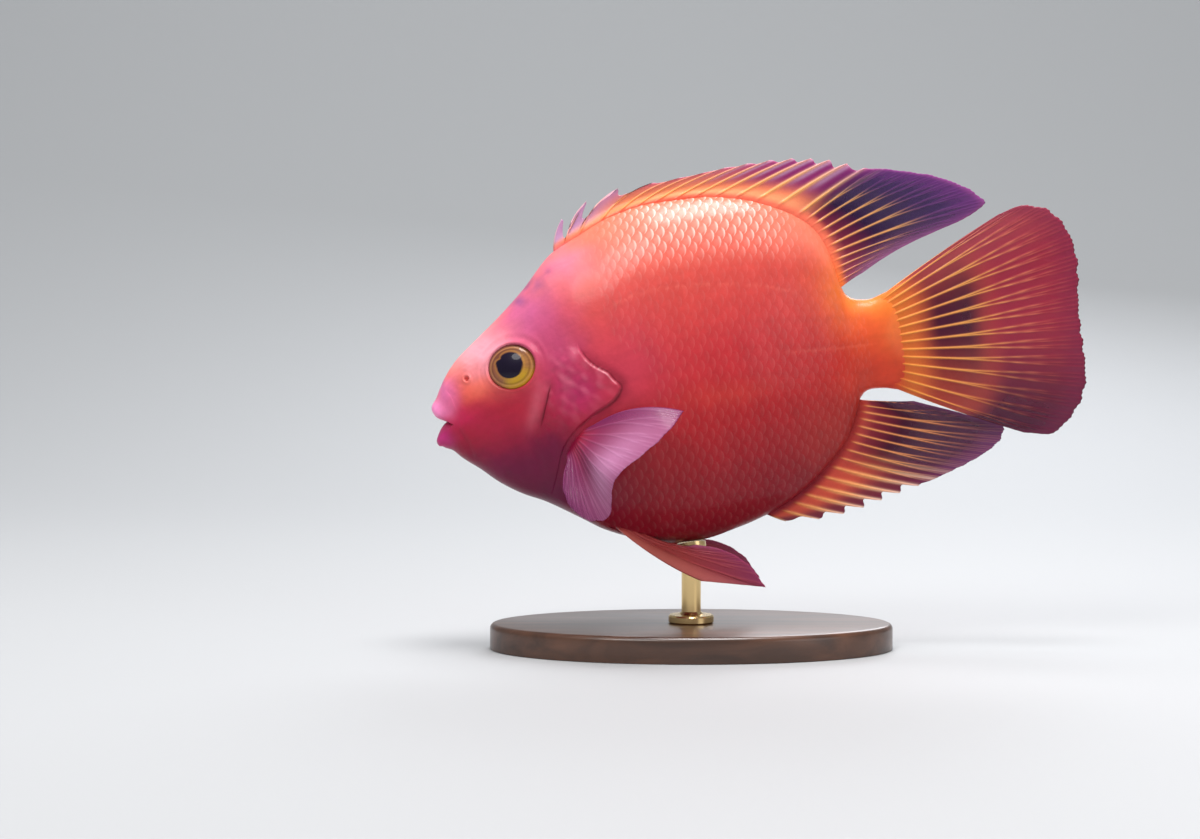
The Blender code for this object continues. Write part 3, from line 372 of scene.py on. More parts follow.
# How large the scales are along the body, as a share of the largest
SCALE_SIZE = Curve((
    (30.0, 0.86), (48.0, 0.92), (64.0, 1.0), (100.0, 0.98), (122.0, 0.84), (134.0, 0.66), (158.0, 0.5),
))
# How deep the margin is cut between spines, counted from the first, as a share of their length
DORSAL_CUTS = Curve((
    (0, 0.90), (1, 0.84), (2, 0.66), (3, 0.34), (4, 0.15), (6, 0.09), (9, 0.12), (12, 0.13), (13, 0.06),
))
ANAL_CUTS = Curve(((0, 0.45), (2, 0.28), (6, 0.15)))


def smooth(low, high, value):
    """0 up to low, 1 from high on, and a soft step between them."""
    t = np.clip((value - low) / (high - low), 0.0, 1.0)
    return t * t * (3 - 2 * t)


def between(value, rise, fall):
    """1 between two soft steps, each given as its start and its end, and 0 outside them."""
    return smooth(*rise, value) * (1 - smooth(*fall, value))


def hump(value, width):
    """1 at 0, falling softly to both sides."""
    return np.exp(-((value / width) ** 2))


def bend(x):
    """The sideways shift of the tail at x."""
    return -BEND_DEPTH * (np.maximum(x - BEND_START, 0.0) / BEND_LENGTH) ** 2


def body_point(x, angle):
    """Points of the plain body. The angle is 0 on the back, a quarter turn on the right, half below."""
    across, up = np.sin(angle), np.cos(angle)
    power = np.where(up > 0, UPPER_POWER(x), LOWER_POWER(x))
    reach = np.where(up > 0, TOP(x) - LEVEL(x), LEVEL(x) - BOTTOM(x))
    y = HALF(x) * np.sign(across) * np.abs(across) ** (2 / power) + bend(x)
    z = LEVEL(x) + reach * np.sign(up) * np.abs(up) ** (2 / power)
    return np.stack([x + 0 * y, y, z], axis=-1)


def side_at(x, z):
    """Half of the body's width at (x, z)."""
    upper = z > LEVEL(x)
    reach = np.where(upper, TOP(x) - LEVEL(x), LEVEL(x) - BOTTOM(x))
    power = np.where(upper, UPPER_POWER(x), LOWER_POWER(x))
    share = np.clip(np.abs(z - LEVEL(x)) / reach, 0.0, 1.0)
    return HALF(x) * (1 - share**power) ** (1 / power)


def belly_at(x, y):
    """Level of the underside of the body at (x, y)."""
    power = LOWER_POWER(x)
    return LEVEL(x) - (LEVEL(x) - BOTTOM(x)) * (1 - np.abs(y / HALF(x)) ** power) ** (1 / power)


def to_world(points):
    """Fish millimetres to the model's metres."""
    x, y, z = points[..., 0], points[..., 1], points[..., 2]
    cos, sin = math.cos(PITCH), math.sin(PITCH)
    return np.stack([x * cos - z * sin + SNOUT_X, y, x * sin + z * cos + SNOUT_Z], axis=-1) * MM


def rounded(line):
    """The open line with its corners cut twice, as an array."""
    line = np.array(line, float)
    for _ in range(2):
        first, second = line[:-1] * 0.75 + line[1:] * 0.25, line[:-1] * 0.25 + line[1:] * 0.75
        cut = np.stack([first, second], axis=1).reshape(-1, line.shape[1])
        line = np.concatenate([line[:1], cut[1:-1], line[-1:]])
    return line


def from_line(points, line):
    """(distance of each (x, z) point from the line, direction away from the line).

    The distance is positive to the left of the line's run.
    """
    best = np.full(len(points), 1e9)
    away = np.zeros((len(points), 2))
    sign = np.ones(len(points))
    for start, end in zip(line, line[1:]):
        along = end - start
        share = np.clip(((points - start) @ along) / (along @ along), 0.0, 1.0)
        offset = points - (start + share[:, None] * along)
        length = np.hypot(offset[:, 0], offset[:, 1])
        nearer = length < best
        best = np.where(nearer, length, best)
        away[nearer] = offset[nearer]
        cross = along[0] * offset[:, 1] - along[1] * offset[:, 0]
        sign = np.where(nearer, np.where(cross >= 0, 1.0, -1.0), sign)
    return best * sign, away / np.maximum(best, 1e-6)[:, None]


def distance_from(line, points, near=slice(None)):
    """Distance of the near ones of the fish points from a line on the side, and FAR for the others."""
    distance = np.full(len(points), FAR)
    distance[near] = from_line(points[near][:, [0, 2]], rounded(line))[0]
    return distance


def mottle(points, size, seed):
    """Smooth random swells from -1 to 1, of about that size in millimetres."""
    rng = np.random.default_rng(seed)
    total = np.zeros(len(points))
    for _ in range(7):
        way = rng.normal(size=3)
        way *= 2 * math.pi / (size * rng.uniform(0.7, 1.5) * np.linalg.norm(way))
        total += np.sin(points @ way + rng.uniform(0, 2 * math.pi))
    return total / 4.0


def linear(colour):
    """Screen colours from 0 to 255 as linear light."""
    share = np.asarray(colour, float) / 255
    return np.where(share <= 0.04045, share / 12.92, ((share + 0.055) / 1.055) ** 2.4)


def blend_colours(base, other, share):
    """The base with that share of the other colour, from 0 to 1."""
    return base + (other - base) * np.clip(share, 0, 1)[..., None]


def paint(colours, *layers):
    """Lays layers of (screen colour, share) over the colours, one after the other."""
    for colour, share in layers:
        colours = blend_colours(colours, linear(colour), share)
    return colours


def mix_stops(stops, place):
    """Colours of a ramp of (place, screen colour) at each place."""
    marks = [m for m, _ in stops]
    ramp = linear([c for _, c in stops])
    return np.stack([np.interp(place, marks, ramp[:, i]) for i in range(3)], axis=-1)


def flank_colours(points):
    """The colours of the skin at each fish point, its own pattern with painted shade low down and a painted
    highlight along the back, the same on skin and scales.
    """
    x, z = points[:, 0], points[:, 2]
    colours = mix_stops(FLANK_RAMP, np.clip(body_height(points), 0, 1))
    wander_x, wander_z = x + 0.9 * mottle(points, 6, 3), z + 0.9 * mottle(points, 6, 4)
    for px, pz, along, up, strength, colour in PATCHES:
        colours = paint(colours, (colour, strength * hump(wander_x - px, along) * hump(wander_z - pz, up)))
    speckle = SMUDGE_SHARE * smooth(-1.2, 1.0, mottle(points, 5.4, 7))
    for px, pz, along, up in SMUDGES:
        colours = paint(colours, (SMUDGE, hump(x - px, along) * hump(z - pz, up) * speckle))
    for line in LATERAL_LINES:
        (start, _), (end, low) = line[0], line[-1]
        near = (x > start - 3) & (x < end + 3) & (z > low - 3) & (z < 30)
        off = distance_from(line, points, near)
        fade = smooth(0, 8, x - start) * (1 - smooth(-9, 0, x - end))
        for colour, side, share in LATERAL_TINTS:
            colours = paint(colours, (colour, share * hump(off + side, 0.40) * fade))
    tone = 1 + 0.05 * mottle(points, 9, 5) + 0.04 * mottle(points, 2.6, 6)
    return np.clip(colours, 0, 1) ** COLOUR_DEPTH * tone[:, None]


def body_height(points):
    """The level of points as a share of the body's depth there, from 0 at the belly to 1 at the back."""
    x, z = points[:, 0], points[:, 2]
    return (z - BOTTOM(x)) / (TOP(x) - BOTTOM(x))


# Meshes


def vertex_places(mesh):
    """The places of the mesh's points, one row each."""
    places = np.empty(len(mesh.vertices) * 3, np.float32)
    mesh.vertices.foreach_get("co", places)
    return places.reshape(-1, 3).astype(float)


def set_places(mesh, points):
    """Moves the vertices to fish points."""
    mesh.vertices.foreach_set("co", to_world(points).astype(np.float32).ravel())


def finished(bm, name, sharp=None):
    """The bmesh as a smooth mesh that faces outwards, its edges sharp past that angle in degrees, if any."""
    bmesh.ops.recalc_face_normals(bm, faces=bm.faces)
    mesh = bpy.data.meshes.new(name)
    bm.to_mesh(mesh)
    bm.free()
    mesh.shade_smooth()
    if sharp:
        mesh.set_sharp_from_angle(angle=math.radians(sharp))
    return mesh


def wrapped_grid(name, points, attributes, close=1e-4):
    """A mesh from a grid of fish points (rows, columns, 3), its meeting edges and poles merged."""
    rows, columns = points.shape[:2]
    bm = bmesh.new()
    bmesh.ops.create_grid(bm, x_segments=columns - 1, y_segments=rows - 1, size=1.0)
    mesh = bpy.data.meshes.new(name)
    bm.to_mesh(mesh)
    places = vertex_places(mesh)
    column = np.rint((places[:, 0] + 1) / 2 * (columns - 1)).astype(int)
    row = np.rint((places[:, 1] + 1) / 2 * (rows - 1)).astype(int)
    set_places(mesh, points[row, column])
    for key, values in attributes.items():
        add_attribute(mesh, key, values[row, column])
    bm.clear()
    bm.from_mesh(mesh)
    bmesh.ops.remove_doubles(bm, verts=bm.verts, dist=close * MM)
    bmesh.ops.recalc_face_normals(bm, faces=bm.faces)
    bm.to_mesh(mesh)
    bm.free()
    mesh.shade_smooth()
    return mesh


def add_attribute(mesh, key, values):
    """A value or a colour at each vertex."""
    if values.ndim == 1:
        attribute = mesh.attributes.new(key, "FLOAT", "POINT")
        attribute.data.foreach_set("value", values.astype(np.float32))
        return
    attribute = mesh.attributes.new(key, "FLOAT_COLOR", "POINT")
    colours = np.ones((len(values), 4), np.float32)
    colours[:, :3] = np.clip(values, 0, 1)
    attribute.data.foreach_set("color", colours.ravel())


def outward_volume(mesh):
    """Six times the mesh's volume, negative when it is inside out."""
    mesh.calc_loop_triangles()
    faces = np.empty(len(mesh.loop_triangles) * 3, np.int32)
    mesh.loop_triangles.foreach_get("vertices", faces)
    a, b, c = vertex_places(mesh)[faces].reshape(-1, 3, 3).transpose(1, 0, 2)
    return float((a * np.cross(b, c)).sum())


def add_piece(name, mesh, material, nodes=()):
    """Puts the mesh in the scene as a piece of the model that takes the place of the nodes."""
    old = bpy.data.objects.get(name)
    if old:
        bpy.data.objects.remove(old)
    piece = bpy.data.objects.new(name, mesh)
    bpy.context.scene.collection.objects.link(piece)
    mesh.materials.clear()
    mesh.materials.append(material)
    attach(piece, "root")
    if nodes:
        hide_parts(*nodes)


# Body


def mouth_rows(angle, steps):
    """Rows of points from inside the mouth over the lips, up to where they end on the snout."""
    across, up = np.sin(angle), np.cos(angle)
    keys = []
    for upper, lower, corner in MOUTH_ROWS:
        middle = np.where((up > 0)[:, None], np.array(upper), np.array(lower))
        x = middle[:, 0] + (corner[0] - middle[:, 0]) * across**2
        z = corner[2] + (middle[:, 1] - corner[2]) * up**2
        keys.append(np.stack([x, corner[1] * across, z], axis=-1))
    for past in (0.0, 1.0):
        keys.append(body_point(lip_edge(angle, past), angle))
    keys = np.array(keys)
    keys[-2] += LIP_CURL * (keys[-3] - keys[-2])
    rows = []
    for i in range(len(keys) - 1):
        before, after = keys[max(i - 1, 0)], keys[min(i + 2, len(keys) - 1)]
        for t in np.arange(steps) / steps:
            rows.append(0.5 * (
                2 * keys[i] + (keys[i + 1] - before) * t
                + (2 * before - 5 * keys[i] + 4 * keys[i + 1] - after) * t * t
                + (3 * keys[i] - before - 3 * keys[i + 1] + after) * t**3
            ))
    return np.array(rows)


def lip_edge(angle, station):
    """x of a row of the snout. The first rows follow the lips and the later ones lie square to the body."""
    above, corner, below = LIP_BACK
    up, across = np.cos(angle), np.sin(angle)
    edge = np.where(up > 0, above, below)
    edge = edge + (corner - edge) * across**2
    return np.where(station < SQUARE_FROM, edge + station * (1 - edge / SQUARE_FROM), station)


def skin_grid(detail):
    """(the plain body as a grid of points, how many of its rows are the mouth's)."""
    turn = np.linspace(0, 2 * math.pi, int(SKIN_COLUMNS * detail) + 1)
    angle = turn + SIDE_SHIFT * np.sin(2 * turn)
    lips = mouth_rows(angle, max(int(LIP_STEPS * detail), 3))
    stations = Curve(STATIONS)(np.linspace(0, 1, int(SKIN_ROWS * detail)))
    body = np.array([body_point(lip_edge(angle, s), angle) for s in stations])
    end = body[-1:] * 0 + body[-1].mean(axis=0)
    grid = np.concatenate([lips, body, end])
    grid[:, -1] = grid[:, 0]
    return grid, len(lips)


def grid_normals(grid):
    along = np.gradient(grid, axis=0)
    wrapped = np.concatenate([grid[:, -2:-1], grid, grid[:, 1:2]], axis=1)
    around = (wrapped[:, 2:] - wrapped[:, :-2]) / 2
    normal = np.cross(around, along)
    normal /= np.maximum(np.linalg.norm(normal, axis=-1, keepdims=True), 1e-9)
    middle = grid.mean(axis=1, keepdims=True)
    return normal * np.sign((normal * (grid - middle)).sum(axis=(0, 1, 2)))


def draw_to_features(points, lips):
    """Shifts grid lines of the body's sides towards the edges that need more of them."""
    flat = points.reshape(-1, 3)
    movable = np.ones(len(flat), bool)
    movable[: lips * points.shape[1]] = False
    x, z = flat[:, 0].copy(), flat[:, 2].copy()
    strength = smooth(0.25, 0.5, side_share(flat)) * movable
    place = np.stack([x, z], axis=-1)
    near = (x > 20) & (x < 70) & (strength > 0)
    gap, away = from_line(place[near], rounded(GILL_EDGE))
    place[near] -= (0.62 * np.abs(gap) * hump(gap, 1.7) * strength[near])[:, None] * away
    for centre, radius, width, pull in GRID_RINGS:
        offset = place - np.array(centre)
        reach = np.hypot(offset[:, 0], offset[:, 1])
        shift = -pull * (reach - radius) * hump(reach - radius, width)
        shift *= smooth(0, radius * 0.5, reach) * strength
        place += offset / np.maximum(reach, 1e-6)[:, None] * shift[:, None]
    moved = np.hypot(place[:, 0] - x, place[:, 1] - z) > 1e-6
    flat[moved, 0], flat[moved, 2] = place[moved, 0], place[moved, 1]
    sign = np.sign(flat[moved, 1] - bend(x[moved]))
    flat[moved, 1] = sign * side_at(place[moved, 0], place[moved, 1]) + bend(place[moved, 0])
    return flat.reshape(points.shape)


def side_share(flat):
    """How far out each point lies, as a share of half of the body's width there."""
    return np.abs(flat[:, 1] - bend(flat[:, 0])) / HALF(flat[:, 0])


def eye_axes(side):
    """Centre of one eye, and the directions out of the head, towards the tail and up, along the skin."""
    x, z = EYE
    reach = settings_of("eye").radius / MM
    yaw = EYE_TURN * math.atan((side_at(x + reach, z) - side_at(x - reach, z)) / (2 * reach))
    roll = EYE_TURN * math.atan((side_at(x, z - reach) - side_at(x, z + reach)) / (2 * reach))
    centre = np.array([x, side * float(side_at(x, z)), z])
    out = np.array([-math.sin(yaw), side * math.cos(yaw) * math.cos(roll), math.sin(roll)])
    out /= np.linalg.norm(out)
    tail = -side * np.cross((0.0, 0.0, 1.0), out)
    tail /= np.linalg.norm(tail)
    return centre, out, tail, -side * np.cross(out, tail)


def relief(flat):
    """(height of the features over the plain body, distance from the gill's edge, values of the lines)."""
    x, z = flat[:, 0], flat[:, 2]
    side = smooth(0.2, 0.5, side_share(flat))
    gap = distance_from(GILL_EDGE, flat, x < 74)
    ridge = distance_from(PREOPERCLE, flat, (x > 24) & (x < 50))
    height, lines = gill_relief(flat, gap, side)
    cut = between(z, (-10.5, -6.5), (0.5, 3.5)) * side
    # fold_shade is where painted shade lies in the sharp part of the cheek's groove
    lines.update({"fold_gap": ridge, "fold_shade": cut})
    height += cheek_relief(x, z, ridge, cut, side) + eye_relief(flat) + nostril_relief(x, z, side)
    naked = smooth(0.0, 14.0, -gap) * side
    cover = smooth(-4.0, 1.0, ridge) * (1 - smooth(-2.5, -0.4, gap)) * side * (x > 30) * smooth(-22, -10, z)
    height += 0.15 * mottle(flat, 3.4, 11) * cover + 0.06 * mottle(flat, 1.7, 12) * (0.4 * naked + cover)
    return height, gap, lines


def gill_relief(flat, gap, side):
    """The raised edge of the gill cover with a groove behind it, and the values of the lines along it, which
    place a painted highlight on the edge and a painted shadow behind it.
    """
    x, z = flat[:, 0], flat[:, 2]
    opening = between(z, (-33.5, -20.0), (9.0, 14.0)) * side
    flap = between(z, (-6.0, 0.0), (8.0, 12.0)) * side
    frill = 0.10 * np.sin(0.7 * x - 0.8 * z) + 0.22 * mottle(flat, 6.0, 14)
    edge = gap + frill * flap
    raised = 0.30 + 0.70 * smooth(-14.0, -4.0, z)
    height = GILL_RAISE * raised * hump(np.minimum(edge, 0), 8.0) * (edge < 0) * opening
    height -= GILL_GROOVE * raised * hump(edge - 0.25, 1.3) * (edge >= 0) * opening
    height += 0.08 * hump(edge + 0.7, 0.9) * flap
    lines = {
        "gill_gap": edge,
        "gill_highlight": flap * smooth(-1.0, 1.5, z) * (0.36 + 0.3 * mottle(flat, 3.4, 16)),
        "gill_shadow": 0.62 * raised * opening * (0.5 + 0.5 * smooth(-14.0, -3.0, z)),
    }
    return height, lines


def cheek_relief(x, z, ridge, cut, side):
    """The groove of the cheek between two soft swellings, and the folds of the jaw and the snout."""
    fade = between(z, (-25.0, -17.0), (8.0, 13.0)) * side
    height = (0.26 * hump(ridge + 2.2, 1.9) + 0.20 * hump(ridge - 1.8, 1.4)) * fade
    height -= CHEEK_GROOVE * hump(ridge, 1.0) * fade + CHEEK_CUT * hump(ridge, 0.36) * cut
    place = np.stack([x, 0 * x, z], axis=-1)
    for line, depth, width in FOLDS:
        fold = distance_from(line, place, x < 16)
        height -= depth * hump(fold, width) * (x > 5.2)
        height += depth * 0.5 * hump(np.abs(fold) - 1.5, 0.9) * (x > 6.5) * side
    return height


def eye_relief(flat):
    """The holes for the eyes, the rims round them and the folds beyond, which are deepest above the eye."""
    height = np.zeros(len(flat))
    for sign, _ in SIDES:
        centre, _, tail, up = eye_axes(sign)
        offset = flat - centre
        reach = np.hypot(offset @ tail / EYE_STRETCH[0], offset @ up / EYE_STRETCH[1])
        reach = np.where((np.sign(flat[:, 1]) == sign) & (flat[:, 0] < 45), reach, FAR)
        over = smooth(-2.0, 6.0, offset[:, 2])
        height -= EYE_HOLE_DEPTH * (1 - smooth(*EYE_HOLE, reach))
        height += (0.42 + 0.30 * over) * hump(reach - 7.55, 0.62) + 0.30 * hump(reach - 8.6, 1.5)
        height += (0.35 + 0.65 * over) * (0.16 * hump(reach - 10.5, 0.7) - 0.20 * hump(reach - 9.6, 0.45))
    return height


def nostril_relief(x, z, side):
    """A small hole with a rim on each side."""
    reach = np.hypot(x - NOSTRIL[0], z - NOSTRIL[1]) + 9 * (1 - side)
    return 0.26 * hump(reach - 1.15, 0.36) - NOSTRIL_DEPTH * (1 - smooth(0.35, 0.85, reach))


def skin_colours(flat, gap, lips, columns):
    """The colours of the skin: its pattern, painted shade inside the mouth, painted shade and a painted
    highlight along the folds, and a pink tint on the gill cover.
    """
    x, z = flat[:, 0], flat[:, 2]
    rows = MOUTH_SHADE_ROWS * lips // len(MOUTH_ROWS)
    inside = np.zeros(len(flat))
    inside[: rows * columns] = 1 - np.repeat(np.linspace(0, 1, rows), columns) ** 2
    colours = paint(flank_colours(flat), (MOUTH_SHADE, inside))
    for line, offset, width, share, low, high, tint in FOLD_SHADING:
        groove = distance_from(line, flat, x < 66)
        fade = between(z, (low - 3, low + 5), (high - 5, high + 3))
        colours = paint(colours, (tint, share * hump(groove - offset, width) * fade))
    cheek = hump(x - 46, 9) * hump(z - 3, 9) * (1 - smooth(-1.0, 0.5, gap))
    return paint(colours, (GILL_PINK, 0.34 * cheek * smooth(-0.3, 1.2, mottle(flat, 4.0, 15))))


def make_skin_mesh():
    grid, lips = skin_grid(1.0)
    grid = draw_to_features(grid, lips)
    shape = grid.shape[:2]
    flat = grid.reshape(-1, 3)
    height, gap, lines = relief(flat)
    height[: lips * shape[1]] = 0
    height -= scaled_share(flat, gap) * settings_of("skin").coat_depth / MM
    height *= 1 - 0.6 * np.exp(-np.maximum(flat[:, 0] - LIP_BACK[0], 0) / LIP_FADE)
    shaped = grid + grid_normals(grid) * height.reshape(shape)[..., None]
    shaped[:, -1] = shaped[:, 0]
    attributes = {key: np.clip(values, -9, 9).reshape(shape) for key, values in lines.items()}
    attributes["pattern_and_painted_light"] = skin_colours(flat, gap, lips, shape[1]).reshape(*shape, 3)
    return wrapped_grid("skin", shaped, attributes)


def scaled_share(flat, gap):
    """1 where scales cover the skin, falling to 0 on the naked head and on the tail fin."""
    return smooth(0.3, 12.0, gap) * (1 - smooth(134.0, 146.0, flat[:, 0]))


# Scales


def arc_table(side):
    """Places along the body, places round it, and how far round it is from the widest line to each."""
    xs = np.linspace(30.0, 149.0, 320)
    shares = np.linspace(-1, 1, 241)
    angle = side * (math.pi / 2) * (1 - shares)
    points = body_point(xs[:, None] + 0 * angle[None], angle[None] + 0 * xs[:, None])
    steps = np.linalg.norm(np.diff(points, axis=1), axis=2)
    arc = np.concatenate([np.zeros((len(xs), 1)), np.cumsum(steps, axis=1)], axis=1)
    arc -= arc[:, len(shares) // 2][:, None]
    return xs, shares, arc


def lattice_to_body(run, level, side, table):
    """(x, angle, whether it is on this side) of places in the even pattern of scales."""
    xs, shares, arc = table
    sizes = SCALE_SIZE(xs)
    runs = np.concatenate([[0], np.cumsum(np.diff(xs) * 2 / (sizes[1:] + sizes[:-1]))])
    x = np.interp(run, runs, xs)
    place = np.clip((x - xs[0]) / (xs[-1] - xs[0]) * (len(xs) - 1), 0, len(xs) - 1.001)
    low = place.astype(int)
    part = (place - low)[:, None]
    rows = arc[low] * (1 - part) + arc[low + 1] * part
    wanted = level * SCALE_SIZE(x)
    over = np.clip((rows < wanted[:, None]).sum(axis=1), 1, len(shares) - 1)
    index = np.arange(len(x))
    first, second = rows[index, over - 1], rows[index, over]
    past = np.clip((wanted - first) / (second - first), 0, 1)
    share = shares[over - 1] + (shares[over] - shares[over - 1]) * past
    inside = (wanted > rows[:, 0]) & (wanted < rows[:, -1])
    return x, side * (math.pi / 2) * (1 - share), inside


def scale_template():
    """One closed scale as a mesh, and its points as shares along, across and down through it."""
    bm = bmesh.new()
    bmesh.ops.create_grid(bm, x_segments=4, y_segments=5, size=1.0)
    bmesh.ops.solidify(bm, geom=bm.faces[:], thickness=1.0)
    mesh = finished(bm, "one_scale")
    places = vertex_places(mesh)
    p, q, down = np.interp(places[:, 0], *SCALE_ROWS), places[:, 1], places[:, 2]
    rounded_off = [p * np.sqrt(1 - q * q / 2), q * np.sqrt(1 - p * p / 2)]
    return mesh, np.stack([*rounded_off, (down - down.min()) / (down.max() - down.min())], axis=-1)


def body_normals(x, angle, points):
    """Directions square to the body and out of it."""
    ahead, behind = body_point(x - 0.4, angle), body_point(x + 0.4, angle)
    over, under = body_point(x, angle - 0.01), body_point(x, angle + 0.01)
    normal = np.cross(behind - ahead, under - over)
    normal /= np.maximum(np.linalg.norm(normal, axis=1, keepdims=True), 1e-9)
    outwards = np.stack([0 * x, points[:, 1] - bend(x), points[:, 2] - LEVEL(x)], axis=-1)
    return normal * np.sign((normal * outwards).sum(axis=1))[:, None]


def scale_places(side, table, settings, rng):
    """(place along the pattern, level, x) of each scale: rows set off by half a step, a little irregular."""
    pitch, row_pitch = settings.pitch / MM, settings.row_pitch / MM
    levels = np.arange(-90, 90, row_pitch)
    run, level = np.meshgrid(np.arange(0, 170, pitch), levels, indexing="ij")
    odd = (np.rint(levels / row_pitch).astype(int) % 2)[None] + 0 * run
    run = (run + odd * pitch / 2).ravel()
    level = level.ravel()
    run += rng.normal(0, 0.10, len(run))
    level += rng.normal(0, 0.08, len(level))
    x, angle, inside = lattice_to_body(run, level, side, table)
    gap = distance_from(GILL_EDGE, body_point(x, angle))
    kept = inside & (gap > 3.4) & (x < 142.0 + 1.5 * np.sin(level * 0.9)) & (x > 31)
    return run[kept], level[kept], x[kept]


def make_scales_mesh(name, side, settings):
    """All scales of one side, each a thin plate whose rear edge stands clear of the next."""
    table = arc_table(side)
    template, places = scale_template()
    rng = np.random.default_rng(settings.seed + side)
    run, level, x = scale_places(side, table, settings, rng)
    count = len(run)
    along = places[:, 0] * SCALE_LENGTH * settings.pitch / MM
    across = places[:, 1] * SCALE_WIDTH * settings.row_pitch / MM
    point_run = (run[:, None] + along[None]).ravel()
    point_level = (level[:, None] + across[None]).ravel()
    px, pangle, _ = lattice_to_body(point_run, point_level, side, table)
    surface = body_point(px, pangle)
    normal = body_normals(px, pangle, surface)

    share = np.tile((places[:, 0] + 1) / 2, count)
    jitter = np.repeat(rng.normal(0, 0.012, count), len(places))
    cover = scaled_share(surface, distance_from(GILL_EDGE, surface))
    crisp = smooth(0.78, 0.91, body_height(surface)) * between(px, (56.0, 76.0), (106.0, 122.0))
    stand = (0.2 + 0.8 * cover) * (0.16 + 0.70 * crisp)
    height = SCALE_SINK * (1 - share) * (0.36 + 0.64 * crisp) + settings.rise / MM * share * stand
    height *= np.repeat(SCALE_SIZE(x), len(places))
    height += jitter * share * stand - cover * settings_of("skin").coat_depth / MM
    height -= np.tile(1 - places[:, 2], count) * settings.thickness / MM + 0.17 * (1 - cover)
    surface = surface + normal * height[:, None]

    bm = bmesh.new()
    for _ in range(count):
        bm.from_mesh(template)
    mesh = bpy.data.meshes.new(name)
    bm.to_mesh(mesh)
    bm.free()
    bpy.data.meshes.remove(template)
    set_places(mesh, surface)
    tone = np.repeat(1 + rng.normal(0, 0.018, count), len(places))
    # a faint pale rim on every scale's rear edge, and on the upper back a painted highlight: crescent glints
    edge = smooth(0.84, 0.97, share)
    colours = paint(flank_colours(surface) * tone[:, None], (SCALE_RIM_GLINT, (0.03 + 0.68 * crisp) * edge))
    add_attribute(mesh, "pattern_and_painted_light", colours)
    lay_patches(mesh, side, run, level, places)
    if outward_volume(mesh) < 0:
        mesh.flip_normals()
    mesh.shade_smooth()
    mesh.set_sharp_from_angle(angle=math.radians(50))
    return mesh


def lay_patches(mesh, side, run, level, places):
    """A UV map that lays each scale as a small patch at its place on an unwrap of that side."""
    left = 0.01 if side < 0 else 0.51
    across = left + 0.48 * (run - run.min()) / (run.max() - run.min())
    up = 0.02 + 0.96 * (level - level.min()) / (level.max() - level.min())
    vertex_u = (across[:, None] + places[None, :, 0] * HALF_PATCH).ravel()
    vertex_v = (up[:, None] + places[None, :, 1] * HALF_PATCH).ravel()
    corners = np.empty(len(mesh.loops), np.int32)
    mesh.loops.foreach_get("vertex_index", corners)
    layer = mesh.uv_layers.new(name="OFBake")
    places = np.stack([vertex_u[corners], vertex_v[corners]], -1)
    layer.data.foreach_set("uv", places.astype(np.float32).ravel())


# Fins


class Rays:
    """The rays of a fin as a smooth sheet: s counts them and u runs from 0 at the base to 1 at the tip."""

    def __init__(self, rays):
        self.count = len(rays)
        self.parts = []
        for k in range(3):
            self.parts.append([Curve([(i, ray[k][axis]) for i, ray in enumerate(rays)]) for axis in range(3)])

    def at(self, s, u):
        base, middle, tip = [np.stack([curve(s) for curve in part], axis=-1) for part in self.parts]
        u = u[..., None]
        inside = base * (1 - u) ** 2 + middle * 2 * u * (1 - u) + tip * u * u
        way = middle - base
        way = way / np.maximum(np.linalg.norm(way, axis=-1, keepdims=True), 1e-9)
        return np.where(u < 0, base + way * u, inside)

    def spacing(self, s, u):
        """The distance from one ray to the next at each place."""
        ahead, behind = np.minimum(s + 0.5, self.count - 1), np.maximum(s - 0.5, 0)
        return np.linalg.norm(self.at(ahead, u) - self.at(behind, u), axis=-1) / (ahead - behind)

    def lengths(self, s):
        return np.linalg.norm(self.at(s, 0 * s + 1) - self.at(s, 0 * s), axis=-1)


def spine_ridges(local, u, spacing):
    """How much of a spine lies at each place, from 0 to 1."""
    return hump(local * spacing, 0.52 - 0.24 * u)


def soft_ridges(local, u, spacing):
    """How much of a soft ray, which forks twice, lies at each place, from 0 to 1."""
    first = 0.20 * smooth(0.30, 0.75, u)
    second = 0.095 * smooth(0.58, 0.95, u)
    width = 0.30 - 0.13 * smooth(0.0, 0.9, u)
    total = np.zeros_like(u)
    for a in (-1, 1):
        for b in (-1, 1):
            total = np.maximum(total, hump((local - a * first - b * second) * spacing, width))
    return total


